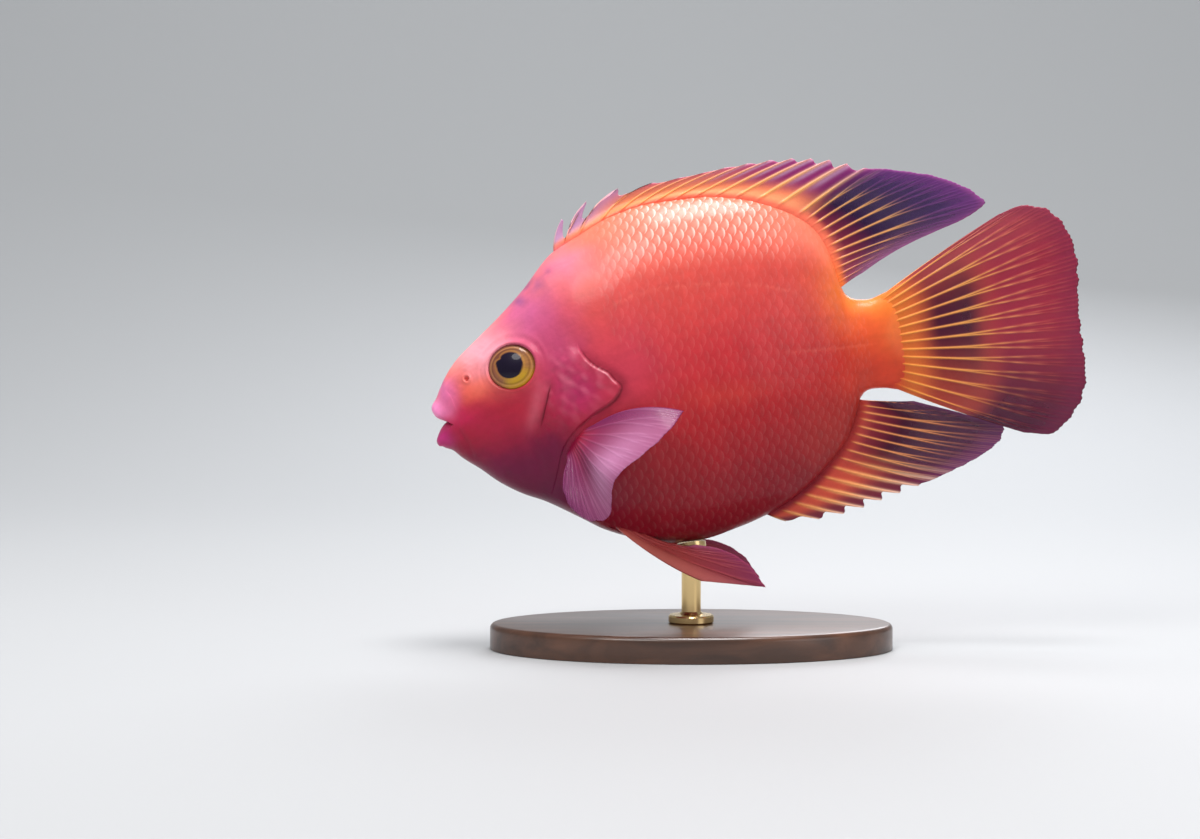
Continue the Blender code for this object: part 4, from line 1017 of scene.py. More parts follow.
def fin_mesh(name, rays, spines, sheath, swell, notches, colour_of, ridge=None):
    """A closed fin with its rays raised on both faces.

    sheath is (how much thicker the root is, how far that reaches) and swell(s) each place's share of it.
    notches(s, spacing) is how far the margin is cut back. colour_of(s, u, ray, band) gives the colours and
    how solid they are.
    """
    settings = settings_of("fin")
    sheet = Rays(rays)
    detail = 1.0
    per_ray = max(int(settings.columns * detail), 6)
    rows = max(int(settings.rows * detail), 24)
    s = np.linspace(0, sheet.count - 1, (sheet.count - 1) * per_ray + 1)
    u = np.concatenate([FIN_ROOT, Curve(FIN_ROWS)(np.linspace(0, 1, rows))])
    grid_u, grid_s = np.meshgrid(u, s, indexing="ij")
    local = grid_s - np.rint(grid_s)
    reach = 1 - notches(grid_s, sheet.spacing(grid_s, 0.9 + 0 * grid_s))
    used = np.where(grid_u < 0, grid_u, grid_u * reach)
    points = sheet.at(grid_s, used)
    spacing = sheet.spacing(grid_s, used)
    length = sheet.lengths(s)[None] * np.maximum(used, 0)
    is_spine = smooth(spines - 0.1, spines - 0.9, grid_s) if spines else 0 * grid_s
    ray = is_spine * spine_ridges(local, used, spacing) + (1 - is_spine) * soft_ridges(local, used, spacing)
    ray *= 0.2 + 0.8 * smooth(0.0, sheath[1] * 0.65, length)

    membrane = settings.membrane / MM
    ridge = ridge or settings.ridge / MM
    thick = membrane + ray * (ridge + is_spine * (settings.spine / MM - ridge) - membrane)
    thick *= 1 - 0.55 * np.clip(used, 0, 1)
    thick += sheath[0] * swell(grid_s) * hump(length, sheath[1]) * (used > -3)
    edge = np.sqrt(np.clip((1 - np.clip(grid_u, 0, 1)) / 0.03, 0, 1))
    border = np.sqrt(np.clip(np.minimum(grid_s, sheet.count - 1 - grid_s) / 0.18, 0, 1))
    thick = thick * edge * border * (grid_u > -3)

    normal = np.cross(np.gradient(points, axis=1), np.gradient(points, axis=0))
    normal /= np.maximum(np.linalg.norm(normal, axis=-1, keepdims=True), 1e-9)
    half = normal * thick[..., None] / 2
    wrapped = np.concatenate([points + half, (points - half)[:, ::-1][:, 1:]], axis=1)
    colours, alpha = colour_of(grid_s, np.clip(used, 0, 1), ray, hump(local * spacing, 0.85))
    flesh = flank_colours(points.reshape(-1, 3)).reshape(points.shape)
    colours = blend_colours(flesh, colours, smooth(0.0, sheath[1] * 0.8, length))
    both = {"pattern_and_painted_light": colours, "clear": alpha}
    attributes = {key: np.concatenate([v, v[:, ::-1][:, 1:]], axis=1) for key, v in both.items()}
    return wrapped_grid(name, wrapped, attributes, close=2e-4)


def median_ray(ray, bow, sweep):
    """A ray of a fin in the middle plane, as its base, the point that bows it and its tip."""
    base = np.array([ray[0], float(bend(ray[0])), ray[1]])
    tip = np.array([ray[2], float(sweep(ray[2])), ray[3]])
    along = tip - base
    middle = (base + tip) / 2 + np.array([-along[2], 0, along[0]]) * bow
    middle[1] = float(sweep((base[0] + tip[0]) / 2))
    return (base, middle, tip)


def right_sweep(x):
    """How far the free ends of the dorsal and anal fins stand to the right."""
    return float(bend(min(x, 132.0))) + 2.4 * (max(x - 118.0, 0.0) / 60.0) ** 1.5


def dorsal_rays():
    bows = [*FIRST_BOWS, *[SPINE_BOW] * (len(DORSAL_SPINES) - len(FIRST_BOWS))]
    bows += [SOFT_BOW] * len(DORSAL_SOFT)
    return [median_ray(ray, bow, right_sweep) for ray, bow in zip(DORSAL_SPINES + DORSAL_SOFT, bows)]


def anal_rays():
    return [median_ray(ray, ANAL_BOW, right_sweep) for ray in ANAL_RAYS]


def tail_rays():
    return [median_ray(ray, TAIL_BOW * ray[3] / TAIL_RAYS[0][3], bend) for ray in TAIL_RAYS]


def pectoral_rays(side):
    first, last = np.array(PECTORAL_BASE)
    rays = []
    for i, (x, z, out) in enumerate(PECTORAL_TIPS):
        root = first + (last - first) * i / (len(PECTORAL_TIPS) - 1)
        skin = float(side_at(root[0], root[1]))
        base = np.array([root[0], side * skin, root[1]])
        tip = np.array([x, side * (skin + out), z])
        lift = PECTORAL_LIFTS[i] if i < len(PECTORAL_LIFTS) else 0.0
        rays.append((base, (base + tip) / 2 + np.array([-1.5, side * PECTORAL_BOW, lift]), tip))
    return rays


def pelvic_rays(side):
    first, last = [np.array([x, y, float(belly_at(x, y)) + PELVIC_SINK]) for x, y in PELVIC_BASE]
    rays = []
    for i, tip in enumerate(PELVIC_TIPS):
        base = first + (last - first) * i / (len(PELVIC_TIPS) - 1)
        tip = np.array(tip)
        middle = (base + tip) / 2 + np.array([0, 0, -PELVIC_BOW])
        rays.append([p * np.array([1, side, 1]) for p in (base, middle, tip)])
    return rays


def even_swell(s):
    return 1 + 0 * s


def tail_swell(s):
    """The tail fin's root is thickest in its middle, as the body before it is."""
    return np.sqrt(np.clip(1 - ((s - 7.5) / 7.9) ** 2, 0, 1))


def spine_margin(s, spacing, depth):
    """The margin between spines, whose tips stand free of it: high behind a spine, falling to the next."""
    part = s - np.floor(s)
    clear = smooth(0.2, 0.6, np.abs(s - np.rint(s)) * spacing)
    return depth * (0.08 + 0.92 * smooth(0.0, 0.92, part)) * clear


def soft_margin(s, spacing):
    """The margin between soft rays: a shallow cut from ray to ray, and a little unevenness."""
    local = np.abs(s - np.rint(s))
    uneven = 0.005 * np.sin(s * 12.7) ** 2 + 0.004 * np.sin(s * 4.1 + 1) ** 2
    return 0.007 * np.sin(local * math.pi) ** 2 + uneven


def dorsal_notches(s, spacing):
    spiny = 1 - smooth(12.9, 13.6, s)
    return spiny * spine_margin(s, spacing, DORSAL_CUTS(s)) + (1 - spiny) * soft_margin(s, spacing)


def anal_notches(s, spacing):
    spiny = 1 - smooth(ANAL_SPINES - 1.1, ANAL_SPINES - 0.4, s)
    return spiny * spine_margin(s, spacing, ANAL_CUTS(s)) + (1 - spiny) * soft_margin(s, spacing)


def dorsal_colours(s, u, ray, band):
    """Gold and pink between pale spines, then gold rays on dark purple with a violet rim."""
    soft, rear = smooth(11.6, 14.6, s), smooth(18.5, 23.5, s)
    back, middle = smooth(3.0, 9.0, s), smooth(5.5, 10.5, s)
    lilac = (1 - smooth(1.5, 3.4, s)) * smooth(0.04, 0.30, u)
    spiny = blend_colours(mix_stops(DORSAL_FRONT, u), mix_stops(DORSAL_MEMBRANE, u), middle)
    dark = (0.16 + 0.62 * middle) * smooth(0.15, 0.5, u) * (1 - band) * (1 - 0.5 * smooth(0.85, 1.0, u))
    streak = hump(s - np.floor(s) - 0.27, 0.15) * smooth(0.28, 0.6, u) * between(s, (5.0, 8.5), (12.2, 13.2))
    spiny = paint(spiny, ((116, 30, 104), dark), ((206, 160, 196), 0.6 * streak))
    along = band * smooth(0.04, 0.3, u) * (0.45 + 0.40 * back)
    spiny = blend_colours(spiny, mix_stops(DORSAL_PALE, u), along)
    pale = lilac * ray + 0.5 * smooth(0.88, 1.0, u) * (1 - back)
    spiny = paint(spiny, ((200, 150, 196), 0.95 * lilac), ((238, 206, 228), 0.7 * pale))
    skin = blend_colours(spiny, mix_stops(DORSAL_DARK, u), soft)
    skin = blend_colours(skin, mix_stops(DORSAL_REAR, u), rear)
    skin = paint(skin, ((122, 72, 146), 0.5 * ray * soft * smooth(0.42, 0.72, u)))
    shine = ray * (1 - 0.92 * soft * smooth(0.36, 0.68, u)) * (1 - 0.5 * rear) * (1 - 0.6 * lilac)
    clear = 1 - (1 - ray) * (0.22 * soft * smooth(0.1, 0.5, u) + 0.1 * rear + 0.22 * lilac)
    return blend_colours(skin, mix_stops(DORSAL_GOLD, u), 0.9 * shine), clear


def tail_colours(s, u, ray, band):
    """A gold root, gold rays with dark wedges between them, then a dull red outer half, darker below."""
    low, high = smooth(7.0, 14.0, s), 1 - smooth(0.5, 4.5, s)
    wedge = between(u, (0.16, 0.30), (0.43, 0.61)) * (0.3 + 0.7 * hump(s - 6.6, 5.2))
    skin = paint(mix_stops(TAIL_MEMBRANE, u), ((52, 6, 44), 0.94 * wedge * (1 - 0.5 * ray)))
    outer = paint(linear((160, 38, 62)) + 0 * skin, ((74, 4, 44), low))
    skin = blend_colours(skin, outer, smooth(0.44, 0.64, u))
    skin = paint(skin, ((178, 74, 84), 0.7 * high * smooth(0.12, 0.4, u)))
    skin = paint(skin, ((122, 28, 70), 0.55 * smooth(0.82, 1.0, u)))
    glint = 0.5 + 0.5 * np.sin(u * 62 + np.rint(s) * 2.3)
    shine = ray * (1 - 0.6 * smooth(0.62, 0.86, u)) * (1 - 0.45 * smooth(0.45, 0.6, u) * (1 - glint))
    shine *= 1 - 0.7 * low * smooth(0.25, 0.6, u)
    clear = 1 - 0.14 * (1 - ray) * smooth(0.2, 0.5, u)
    return blend_colours(skin, mix_stops(TAIL_GOLD, u), 0.85 * shine), clear


def anal_colours(s, u, ray, band):
    """Gold lobes with dark slits among the spines, then fine gold rays on dark purple."""
    front = 1 - smooth(5.0, 9.5, s)
    warm = paint(mix_stops(ANAL_WARM, u), ((84, 24, 50), 0.75 * smooth(0.3, 0.7, u) * (1 - band)))
    warm = blend_colours(warm, mix_stops(ANAL_PALE, u), 0.9 * band * smooth(0.05, 0.4, u))
    skin = blend_colours(mix_stops(ANAL_DARK, u), warm, front)
    shine = ray * (1 - 0.75 * (1 - front) * smooth(0.45, 0.8, u))
    clear = 1 - 0.16 * (1 - ray) * (1 - front) * smooth(0.2, 0.5, u)
    return blend_colours(skin, mix_stops(ANAL_GOLD, u), 0.9 * shine), clear


def pectoral_colours(s, u, ray, band):
    """Half clear lilac, whitish along the bend of the fan as a painted highlight, and painted shade towards
    both of its edges.
    """
    bend_highlight = hump(u - 0.72, 0.30) * hump(s - 4.4, 3.4)
    edge_shade = np.maximum(smooth(7.0, 10.5, s), 1 - smooth(0.1, 1.8, s))
    skin = paint(mix_stops(PECTORAL_MEMBRANE, u), ((194, 130, 170), 0.9 * bend_highlight), ((104, 34, 88), 0.6 * edge_shade))
    clear = 0.92 - 0.32 * smooth(0.1, 0.5, u) * (1 - 0.7 * bend_highlight) * (1 - 0.6 * ray)
    return paint(skin, ((206, 150, 186), 0.30 * ray * (0.25 + 0.75 * bend_highlight))), clear


def pelvic_colours(s, u, ray, band):
    """Brownish red with a paler leading edge and a violet rear lobe."""
    lead, lobe = 1 - smooth(0.0, 1.1, s), smooth(3.4, 5.0, s) * smooth(0.3, 0.9, u)
    skin = mix_stops(PELVIC_MEMBRANE, u)
    skin = paint(skin, ((228, 122, 106), 0.65 * lead), ((196, 100, 146), 0.45 * lobe))
    skin = paint(skin, ((206, 96, 96), 0.4 * ray))
    return skin, 1 - 0.05 * (1 - ray)


# Each fin's name, rays, number of spines, thicker root, swell, margin, colours, slot and replaced nodes
MEDIAN_FINS = (
    (
        "dorsal_fin", dorsal_rays, len(DORSAL_SPINES), (2.4, 4.0), even_swell, dorsal_notches, dorsal_colours,
        "fin_spiny", ("dorsal_fin_spiny", "dorsal_fin_soft"),
    ),
    (
        "anal_fin_rays", anal_rays, ANAL_SPINES, (2.2, 4.0), even_swell, anal_notches, anal_colours,
        "fin_anal", ("anal_fin",),
    ),
    (
        "tail_fin_rays", tail_rays, 0, (6.6, 12.5), tail_swell, soft_margin, tail_colours,
        "fin_tail", ("caudal_fin",),
    ),
)
# Each kind's rays, number of spines, thicker root, colours and the thickness of its rays
PAIRED_FINS = {
    "pectoral": (pectoral_rays, 0, (1.6, 3.4), pectoral_colours, 0.8),
    "pelvic": (pelvic_rays, 1, (1.8, 5.0), pelvic_colours, None),
}


# Eyes


def eye_colours(x, y, front, settings):
    """A pupil that isn't quite round, in a streaked iris: gold below and behind, brownish ahead and darker
    above, where painted shadow of the lid lies; the dark outer ring is darkest at the upper front, also
    painted lid shadow.
    """
    flat = np.hypot(x, y) * settings.radius / MM
    turn = np.arctan2(y, x)
    pupil = settings.pupil / MM * (1 + 0.08 * np.cos(turn - 1.9) + 0.05 * np.cos(2 * (turn - 1.6)))
    pupil -= 0.55 * hump(turn - 2.35, 0.16) - 0.35 * hump(turn - 2.75, 0.20)
    rng = np.random.default_rng(5)
    streak = sum(np.sin(turn * k + rng.uniform(0, 6.3)) for k in (23, 31, 43, 57)) / 4
    colours = np.asarray(settings.iris)[None] * (1 + 0.25 * streak)[:, None]
    colours = paint(
        colours,
        ((204, 160, 28), 0.9 * smooth(0.45, 1.0, np.cos(turn + 1.15))),
        ((146, 84, 66), 0.8 * smooth(-0.1, 0.9, np.cos(turn - 2.9))),
        # darker above: painted shadow of the lid
        ((88, 44, 40), 0.8 * smooth(0.1, 1.0, np.cos(turn - 1.7))),
        ((196, 140, 60), 0.4 * hump(flat - pupil - 0.4, 0.3)),
        ((214, 150, 90), 0.5 * hump(flat - 6.0, 0.22)),
        ((96, 52, 30), 0.5 * hump(flat - 5.5, 0.24)),
    )
    # the dark outer ring, partly the eye's own rim and partly painted lid shadow at the upper front
    ring = paint(linear((92, 38, 34)) + 0 * colours, ((150, 92, 34), smooth(0.2, 0.9, np.cos(turn + 0.9))))
    colours = blend_colours(colours, ring, 0.85 * smooth(6.4, 7.0, flat))
    return paint(colours, ((20, 10, 34), 1 - smooth(-0.12, 0.10, flat - pupil)), ((60, 20, 24), 1.0 * ~front))


def make_eye_mesh(name, side, settings):
    """An eyeball with its pole at the middle of the pupil."""
    bm = bmesh.new()
    bmesh.ops.create_uvsphere(bm, u_segments=96, v_segments=72, radius=1.0)
    mesh = finished(bm, name)
    ball = vertex_places(mesh)
    radius, depth, proud = (v / MM for v in (settings.radius, settings.depth, settings.proud))
    centre, out, tail, up = eye_axes(side)
    set_places(mesh, (
        centre
        + ball[:, :1] * radius * EYE_STRETCH[0] * tail
        + ball[:, 1:2] * radius * EYE_STRETCH[1] * up
        + (ball[:, 2:] * depth + proud - depth) * out
    ))
    if outward_volume(mesh) < 0:
        mesh.flip_normals()
    add_attribute(mesh, "pattern_and_painted_light", eye_colours(ball[:, 0], ball[:, 1], ball[:, 2] > 0, settings))
    return mesh


# Stand


def make_rod_mesh():
    """A turned rod: a collar on the base, the shaft, and a cup cut to the belly above it."""
    bm = bmesh.new()
    points = [bm.verts.new((r * MM, 0, z * MM)) for r, z in ROD_PROFILE]
    edges = [bm.edges.new(pair) for pair in zip(points, points[1:])]
    bmesh.ops.spin(
        bm, geom=points + edges, cent=(0, 0, 0), axis=(0, 0, 1), angle=2 * math.pi, steps=64, use_merge=True
    )
    bmesh.ops.remove_doubles(bm, verts=bm.verts, dist=1e-6)
    for vert in bm.verts:
        vert.co.z = min(vert.co.z, belly_above(vert.co.x, vert.co.y) - ROD_GAP)
    return finished(bm, "rod", 35)


def belly_above(x, y):
    """Height of the underside of the fish over a place near the rod, in the model's metres."""
    cos, sin = math.cos(PITCH), math.sin(PITCH)
    ahead, height = x / MM - SNOUT_X, 0.0
    for _ in range(4):
        along = ahead * cos + height * sin
        height = (float(belly_at(along, y / MM)) + ahead * sin) / cos
    return (height + SNOUT_Z) * MM


def make_base_mesh(settings):
    """An oval plate with a rounded upper edge and a fine step below it."""
    bm = bmesh.new()
    bmesh.ops.create_cone(bm, cap_ends=True, segments=160, radius1=0.5, radius2=0.5, depth=settings.height)
    bmesh.ops.scale(bm, verts=bm.verts, vec=(settings.length, settings.width, 1))
    bmesh.ops.translate(bm, verts=bm.verts, vec=(0, 0, settings.height / 2))
    for low, high, offset, segments in (
        (settings.height / 2, 1.0, UPPER_BEVEL, 5), (-1.0, 1e-6, LOWER_BEVEL, 2),
    ):
        edge = [e for e in bm.edges if all(low < v.co.z < high for v in e.verts)]
        bmesh.ops.bevel(
            bm, geom=edge, offset=offset, segments=segments, profile=0.5, affect="EDGES", material=-1
        )
    return finished(bm, "base_plate", 40)


# Materials


def fill(tree, node, values):
    """Sets a node's inputs to values, or links them to sockets."""
    for key, value in values.items():
        if isinstance(value, bpy.types.NodeSocket):
            tree.links.new(value, node.inputs[key])
        else:
            node.inputs[key].default_value = value


def add_node(tree, kind, values=(), **settings):
    node = tree.nodes.new(f"ShaderNode{kind}")
    for key, value in settings.items():
        setattr(node, key, value)
    fill(tree, node, dict(values))
    return node


def calculate(tree, operation, *values):
    """The result of a Math node, as a socket."""
    return add_node(tree, "Math", enumerate(values), operation=operation).outputs[0]


def new_material(name):
    """(material, its node tree, its shader), in place of any of that name."""
    old = bpy.data.materials.get(name)
    if old:
        bpy.data.materials.remove(old)
    material = bpy.data.materials.new(name)
    material.use_nodes = True
    return material, material.node_tree, material.node_tree.nodes["Principled BSDF"]


def new_group(name, inputs, outputs):
    """(a node group, the sockets that bring its inputs, the node that takes its outputs)."""
    tree = bpy.data.node_groups.new(name, "ShaderNodeTree")
    for way, sockets in (("INPUT", inputs), ("OUTPUT", outputs)):
        for label, kind in sockets.items():
            tree.interface.new_socket(label, in_out=way, socket_type=f"NodeSocket{kind}")
    return tree, tree.nodes.new("NodeGroupInput").outputs, tree.nodes.new("NodeGroupOutput")


def grain_group():
    """A node group that breaks up a colour, and gives a height and a roughness, from noise."""
    tree, given, end = new_group(
        "fine_grain",
        {"Colour": "Color", "Scale": "Float", "Amount": "Float", "Roughness": "Float"},
        {"Colour": "Color", "Height": "Float", "Roughness": "Float"},
    )
    place = add_node(tree, "TexCoord").outputs["Object"]
    noise = add_node(tree, "TexNoise", {"Vector": place, "Scale": given["Scale"], "Detail": 3.0})
    noise = noise.outputs["Fac"]
    centred = calculate(tree, "SUBTRACT", noise, 0.5)
    swing = calculate(tree, "MULTIPLY_ADD", centred, given["Amount"], 1.0)
    tint = add_node(tree, "VectorMath", {0: given["Colour"], "Scale": swing}, operation="SCALE").outputs[0]
    rough = calculate(tree, "MULTIPLY_ADD", centred, 0.16, given["Roughness"])
    fill(tree, end, {"Colour": tint, "Height": noise, "Roughness": rough})
    return tree


def line_group():
    """A node group that gives a soft line where a distance is about a stated place."""
    tree, given, end = new_group(
        "soft_line", {name: "Float" for name in ("Distance", "Place", "Width", "Share")}, {"Mask": "Float"}
    )
    across = calculate(tree, "SUBTRACT", given["Distance"], given["Place"])
    across = calculate(tree, "DIVIDE", across, given["Width"])
    fall = calculate(tree, "POWER", 0.3679, calculate(tree, "MULTIPLY", across, across))
    fill(tree, end, {"Mask": calculate(tree, "MULTIPLY", fall, given["Share"])})
    return tree


def read(tree, attribute, output="Fac"):
    """The socket that brings an attribute of the piece."""
    return add_node(tree, "Attribute", attribute_name=attribute).outputs[output]


def place_group(tree, name, build, values):
    """A node that holds the group of that name, built on its first use."""
    return add_node(tree, "Group", values, node_tree=bpy.data.node_groups.get(name) or build())


def draw_lines(tree, colour):
    """Draws the fine lines of the head, painted shadow, highlight and shade, over a colour socket, and gives
    the socket of the result.
    """
    for distance, share, place, width, tint in PAINTED_LIGHT_LINES:
        values = {"Distance": read(tree, distance), "Share": read(tree, share)}
        values.update({"Place": place, "Width": width})
        mask = place_group(tree, "soft_line", line_group, values).outputs["Mask"]
        mix = add_node(tree, "Mix", {"Factor": mask, "A": colour, "B": (*tint, 1)}, data_type="RGBA")
        colour = mix.outputs["Result"]
    return colour


def marked_material(name, roughness, grain, amount, bump, coat, clear=False, lined=False):
    """A glossy living surface coloured by the piece's pattern and painted light."""
    material, tree, shader = new_material(name)
    values = {"Scale": grain, "Amount": amount, "Roughness": roughness}
    values["Colour"] = read(tree, "pattern_and_painted_light", "Color")
    grained = place_group(tree, "fine_grain", grain_group, values).outputs
    colour = draw_lines(tree, grained["Colour"]) if lined else grained["Colour"]
    fine = add_node(tree, "Bump", {"Strength": bump, "Distance": BUMP_DEPTH, "Height": grained["Height"]})
    fill(tree, shader, {
        "Base Color": colour, "Roughness": grained["Roughness"], "Normal": fine.outputs["Normal"],
        "Specular IOR Level": 0.14, "Coat Weight": coat, "Coat Roughness": 0.14,
    })
    if clear:
        fill(tree, shader, {"Alpha": read(tree, "clear")})
    return material


def eye_material():
    """A clear glossy surface over the colours of the eye."""
    material, tree, shader = new_material("eye_glass")
    fill(tree, shader, {
        "Base Color": read(tree, "pattern_and_painted_light", "Color"), "Roughness": 0.35, "Specular IOR Level": 0.1,
        "Coat Weight": 1.0, "Coat IOR": 1.25, "Coat Roughness": 0.02,
    })
    return material


def plain_material(name, colour, roughness, metallic=0.0):
    material, tree, shader = new_material(name)
    fill(tree, shader, {"Base Color": (*colour, 1.0), "Roughness": roughness, "Metallic": metallic})
    return material


def wood_material(settings):
    """Dark polished wood with its grain along the base."""
    material, tree, shader = new_material("base_wood")
    place = add_node(tree, "TexCoord").outputs["Object"]
    along = add_node(tree, "Mapping", {"Vector": place, "Scale": WOOD_GRAIN}).outputs["Vector"]
    noise = add_node(tree, "TexNoise", {"Vector": along, "Scale": 1.0, "Detail": 6.0, "Distortion": 0.6})
    ramp = add_node(tree, "ValToRGB", {"Fac": noise.outputs["Fac"]})
    for stop, (position, share) in zip(ramp.color_ramp.elements, WOOD_STOPS):
        stop.position = position
        stop.color = (*(c * share for c in settings.wood), 1)
    fill(tree, shader, {
        "Base Color": ramp.outputs["Color"], "Roughness": 0.34, "Coat Weight": 0.35, "Coat Roughness": 0.15,
    })
    return material


# Settings


def length_setting(name, description, default):
    return FloatProperty(name=name, description=description, default=default, unit="LENGTH")


def factor_setting(name, description, default):
    return FloatProperty(name=name, description=description, default=default, subtype="FACTOR")


def colour_setting(name, description, default):
    return FloatVectorProperty(name=name, description=description, default=default, subtype="COLOR")


def number_setting(name, description, default):
    return IntProperty(name=name, description=description, default=default)


class FishSkinSettings(bpy.types.PropertyGroup):
    coat_depth: length_setting("Coat depth", "How far the skin lies inside the scales", 0.0003)
    gloss: factor_setting("Gloss", "Strength of the wet film on the skin", 0.16)
    roughness: factor_setting("Roughness", "Roughness of the skin", 0.38)


class FishScaleSettings(bpy.types.PropertyGroup):
    pitch: length_setting("Pitch", "From one scale to the next along a row", 0.0036)
    row_pitch: length_setting("Row pitch", "From one row of scales to the next", 0.0026)
    rise: length_setting("Rise", "How far a scale's rear edge stands off the skin", 0.0001)
    thickness: length_setting("Thickness", "Thickness of a scale", 0.00012)
    seed: number_setting("Seed", "Start of the random draws", 21)


class FishFinSettings(bpy.types.PropertyGroup):
    columns: number_setting("Columns", "Columns of points from one ray to the next", 16)
    rows: number_setting("Rows", "Rows of points along a ray", 84)
    membrane: length_setting("Membrane", "Thickness of the fin between the rays", 0.00052)
    ridge: length_setting("Ray", "Thickness of a soft ray at its base", 0.00115)
    spine: length_setting("Spine", "Thickness of a spine at its base", 0.0015)


class FishEyeSettings(bpy.types.PropertyGroup):
    radius: length_setting("Radius", "Radius of the eyeball seen from the side", 0.0079)
    depth: length_setting("Depth", "Half of the eyeball's depth", 0.005)
    proud: length_setting("Proud", "How far the eye stands out of the head", 0.0024)
    pupil: length_setting("Pupil", "Radius of the pupil", 0.0040)
    iris: colour_setting("Iris", "Colour of the iris", (0.32, 0.14, 0.045))


class FishStandSettings(bpy.types.PropertyGroup):
    length: length_setting("Length", "Length of the base", 0.124)
    width: length_setting("Width", "Width of the base", 0.072)
    height: length_setting("Height", "Height of the base", 0.008)
    wood: colour_setting("Wood", "Colour of the base", (0.075, 0.03, 0.015))
    brass: colour_setting("Brass", "Colour of the rod", (0.76, 0.55, 0.26))


class FishStageSettings(bpy.types.PropertyGroup):
    floor: colour_setting("Floor", "Colour of the floor", (0.43, 0.44, 0.45))
    key_power: FloatProperty(
        name="Key light", description="Power of the main light", default=9.0, unit="POWER"
    )
    distance: length_setting("Distance", "From the camera to the fish", 0.75)


SETTINGS = {
    "skin": FishSkinSettings, "scale": FishScaleSettings, "fin": FishFinSettings,
    "eye": FishEyeSettings, "stand": FishStandSettings, "stage": FishStageSettings,
}


def settings_of(name):
    return getattr(bpy.context.scene, f"fish_{name}")


# Stage


def make_floor(settings):
    """A pale floor that rises behind the model in one sweep."""
    bm = bmesh.new()
    start, end = bm.verts.new((-FLOOR_REACH, -FLOOR_REACH, 0)), bm.verts.new((FLOOR_REACH, -FLOOR_REACH, 0))
    made = bmesh.ops.extrude_edge_only(bm, edges=[bm.edges.new((start, end))])["geom"]
    verts = [g for g in made if isinstance(g, bmesh.types.BMVert)]
    bmesh.ops.translate(bm, verts=verts, vec=(0, FLOOR_DEPTH, 0))
    centre = (0, FLOOR_DEPTH - FLOOR_REACH, SWEEP_RADIUS)
    rim = [g for g in made if isinstance(g, bmesh.types.BMEdge)]
    bmesh.ops.spin(bm, geom=rim + verts, cent=centre, axis=(1, 0, 0), angle=math.pi / 2, steps=32)
    top = [e for e in bm.edges if all(v.co.z > SWEEP_RADIUS - 0.01 for v in e.verts)]
    made = bmesh.ops.extrude_edge_only(bm, edges=top)["geom"]
    verts = [g for g in made if isinstance(g, bmesh.types.BMVert)]
    bmesh.ops.translate(bm, verts=verts, vec=(0, 0, WALL_HEIGHT))
    mesh = finished(bm, "floor")
    mesh.materials.append(plain_material("floor", settings.floor, 0.7))
    floor = bpy.data.objects.new("floor", mesh)
    bpy.context.scene.collection.objects.link(floor)


def make_lights(settings):
    for name, place, aim, size, share, tint in LIGHTS:
        light = bpy.data.lights.new(name, "AREA")
        light.shape = "DISK"
        light.size = size
        light.energy = settings.key_power * share
        light.color = tint
        lamp = bpy.data.objects.new(name, light)
        lamp.location = place
        lamp.rotation_euler = (Vector(aim) - Vector(place)).to_track_quat("-Z", "Y").to_euler()
        bpy.context.scene.collection.objects.link(lamp)
    world = bpy.data.worlds.new("studio")
    world.use_nodes = True
    background = world.node_tree.nodes["Background"]
    fill(world.node_tree, background, {"Color": (0.95, 0.97, 1.0, 1), "Strength": 0.38})
    bpy.context.scene.world = world
    bpy.context.scene.view_settings.view_transform = "Standard"


def make_camera(settings):
    """A camera that looks square at the fish's left side, a little from above, framed as the photo."""
    camera = bpy.data.cameras.new("camera")
    camera.sensor_width = SENSOR
    camera.lens = SENSOR * settings.distance / FRAME_WIDTH
    camera.clip_start = 0.01
    item = bpy.data.objects.new("camera", camera)
    away = Vector((0, -math.cos(CAMERA_RISE), math.sin(CAMERA_RISE)))
    item.location = Vector(CAMERA_TARGET) + away * settings.distance
    item.rotation_euler = (-away).to_track_quat("-Z", "Y").to_euler()
    bpy.context.scene.collection.objects.link(item)
    bpy.context.scene.camera = item


# Pieces


class FishPiece:
    bl_options = {"REGISTER", "UNDO"}


class FISH_OT_skin(FishPiece, bpy.types.Operator):
    """Make the skin of the head, body and tail in one piece"""

    bl_idname = "fish.make_skin"
    bl_label = "Skin"

    def execute(self, context):
        settings = settings_of("skin")
        material = marked_material("skin", settings.roughness, 700.0, 0.16, 0.25, settings.gloss, lined=True)
        add_piece("skin", make_skin_mesh(), material, FLESH_NODES)
        return {"FINISHED"}


class FISH_OT_scales(FishPiece, bpy.types.Operator):
    """Lay the scales over both flanks"""

    bl_idname = "fish.make_scales"
    bl_label = "Scales"

    def execute(self, context):
        material = marked_material("scales", 0.40, 1500.0, 0.12, 0.15, 0.30)
        for side, label in SIDES:
            mesh = make_scales_mesh(f"scales_{label}", side, settings_of("scale"))
            add_piece(f"scales_{label}", mesh, material)
        return {"FINISHED"}


class FISH_OT_median_fins(FishPiece, bpy.types.Operator):
    """Make the dorsal, anal and tail fins"""

    bl_idname = "fish.make_median_fins"
    bl_label = "Median fins"

    def execute(self, context):
        material = marked_material("fin", 0.40, 1200.0, 0.14, 0.2, 0.16, clear=True)
        for name, rays, spines, sheath, swell, notches, colours, slot, nodes in MEDIAN_FINS:
            mesh = fin_mesh(name, rays(), spines, sheath, swell, notches, colours)
            add_piece(name, mesh, material, nodes)
        return {"FINISHED"}


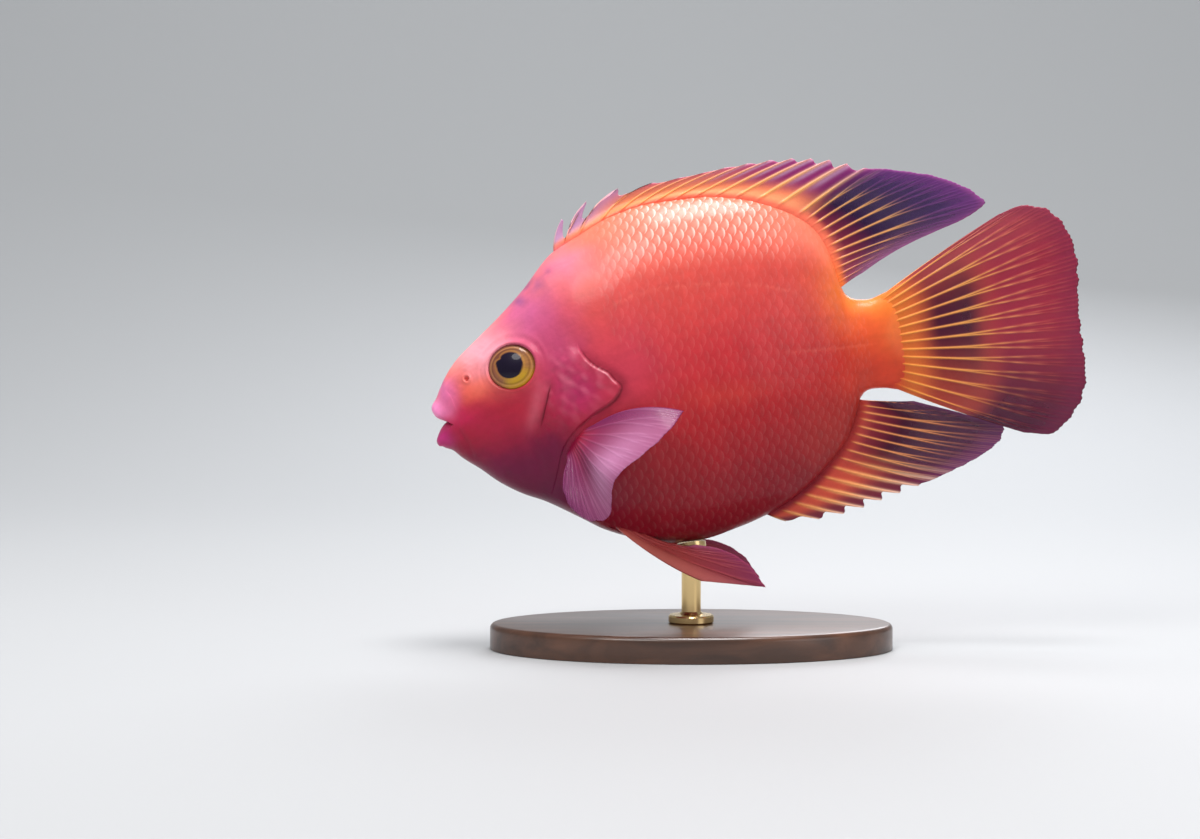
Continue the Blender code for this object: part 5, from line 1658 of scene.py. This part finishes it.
class FISH_OT_paired_fins(FishPiece, bpy.types.Operator):
    """Make the pectoral and pelvic fins of both sides"""

    bl_idname = "fish.make_paired_fins"
    bl_label = "Paired fins"

    def execute(self, context):
        materials = {
            "pectoral": marked_material("pectoral", 0.42, 1200.0, 0.10, 0.15, 0.12, clear=True),
            "pelvic": marked_material("pelvic", 0.40, 1200.0, 0.12, 0.2, 0.2, clear=True),
        }
        for side, label in SIDES:
            for kind, (rays, spines, sheath, colours, ridge) in PAIRED_FINS.items():
                name = f"{kind}_{label}"
                mesh = fin_mesh(name, rays(side), spines, sheath, even_swell, soft_margin, colours, ridge)
                add_piece(name, mesh, materials[kind], (f"{kind}_fin_{label}",))
        return {"FINISHED"}


class FISH_OT_eyes(FishPiece, bpy.types.Operator):
    """Make both eyes, with a gold iris round a dark pupil"""

    bl_idname = "fish.make_eyes"
    bl_label = "Eyes"

    def execute(self, context):
        material = eye_material()
        for side, label in SIDES:
            mesh = make_eye_mesh(f"eyeball_{label}", side, settings_of("eye"))
            add_piece(f"eyeball_{label}", mesh, material, (f"eye_{label}",))
        return {"FINISHED"}


class FISH_OT_stand(FishPiece, bpy.types.Operator):
    """Make the wooden base and the brass rod"""

    bl_idname = "fish.make_stand"
    bl_label = "Stand"

    def execute(self, context):
        settings = settings_of("stand")
        wood = wood_material(settings)
        add_piece("base_plate", make_base_mesh(settings), wood, ("stand_base",))
        brass = plain_material("rod_brass", settings.brass, 0.22, 1.0)
        add_piece("rod", make_rod_mesh(), brass, ("stand_rod",))
        return {"FINISHED"}


class FISH_OT_stage(FishPiece, bpy.types.Operator):
    """Set the floor, the lights and the camera"""

    bl_idname = "fish.set_stage"
    bl_label = "Stage"

    def execute(self, context):
        settings = settings_of("stage")
        make_floor(settings)
        make_lights(settings)
        make_camera(settings)
        return {"FINISHED"}


class FISH_PT_panel(bpy.types.Panel):
    """Lists the pieces of the fish in the order they are made"""

    bl_idname = "FISH_PT_panel"
    bl_label = "Blood parrot cichlid"
    bl_space_type = "VIEW_3D"
    bl_region_type = "UI"
    bl_category = "Fish"

    def draw(self, context):
        for operator in OPERATORS:
            self.layout.operator(operator.bl_idname)


OPERATORS = (
    FISH_OT_skin, FISH_OT_scales, FISH_OT_median_fins, FISH_OT_paired_fins, FISH_OT_eyes, FISH_OT_stand,
    FISH_OT_stage,
)
CLASSES = (*SETTINGS.values(), *OPERATORS, FISH_PT_panel)


def register():
    for cls in CLASSES:
        bpy.utils.register_class(cls)
    for name, cls in SETTINGS.items():
        setattr(bpy.types.Scene, f"fish_{name}", PointerProperty(type=cls))


def unregister():
    for name in SETTINGS:
        delattr(bpy.types.Scene, f"fish_{name}")
    for cls in reversed(CLASSES):
        bpy.utils.unregister_class(cls)


def main():
    register()
    for operator in OPERATORS:
        group, name = operator.bl_idname.split(".")
        getattr(getattr(bpy.ops, group), name)()


if __name__ == "__main__":
    main()
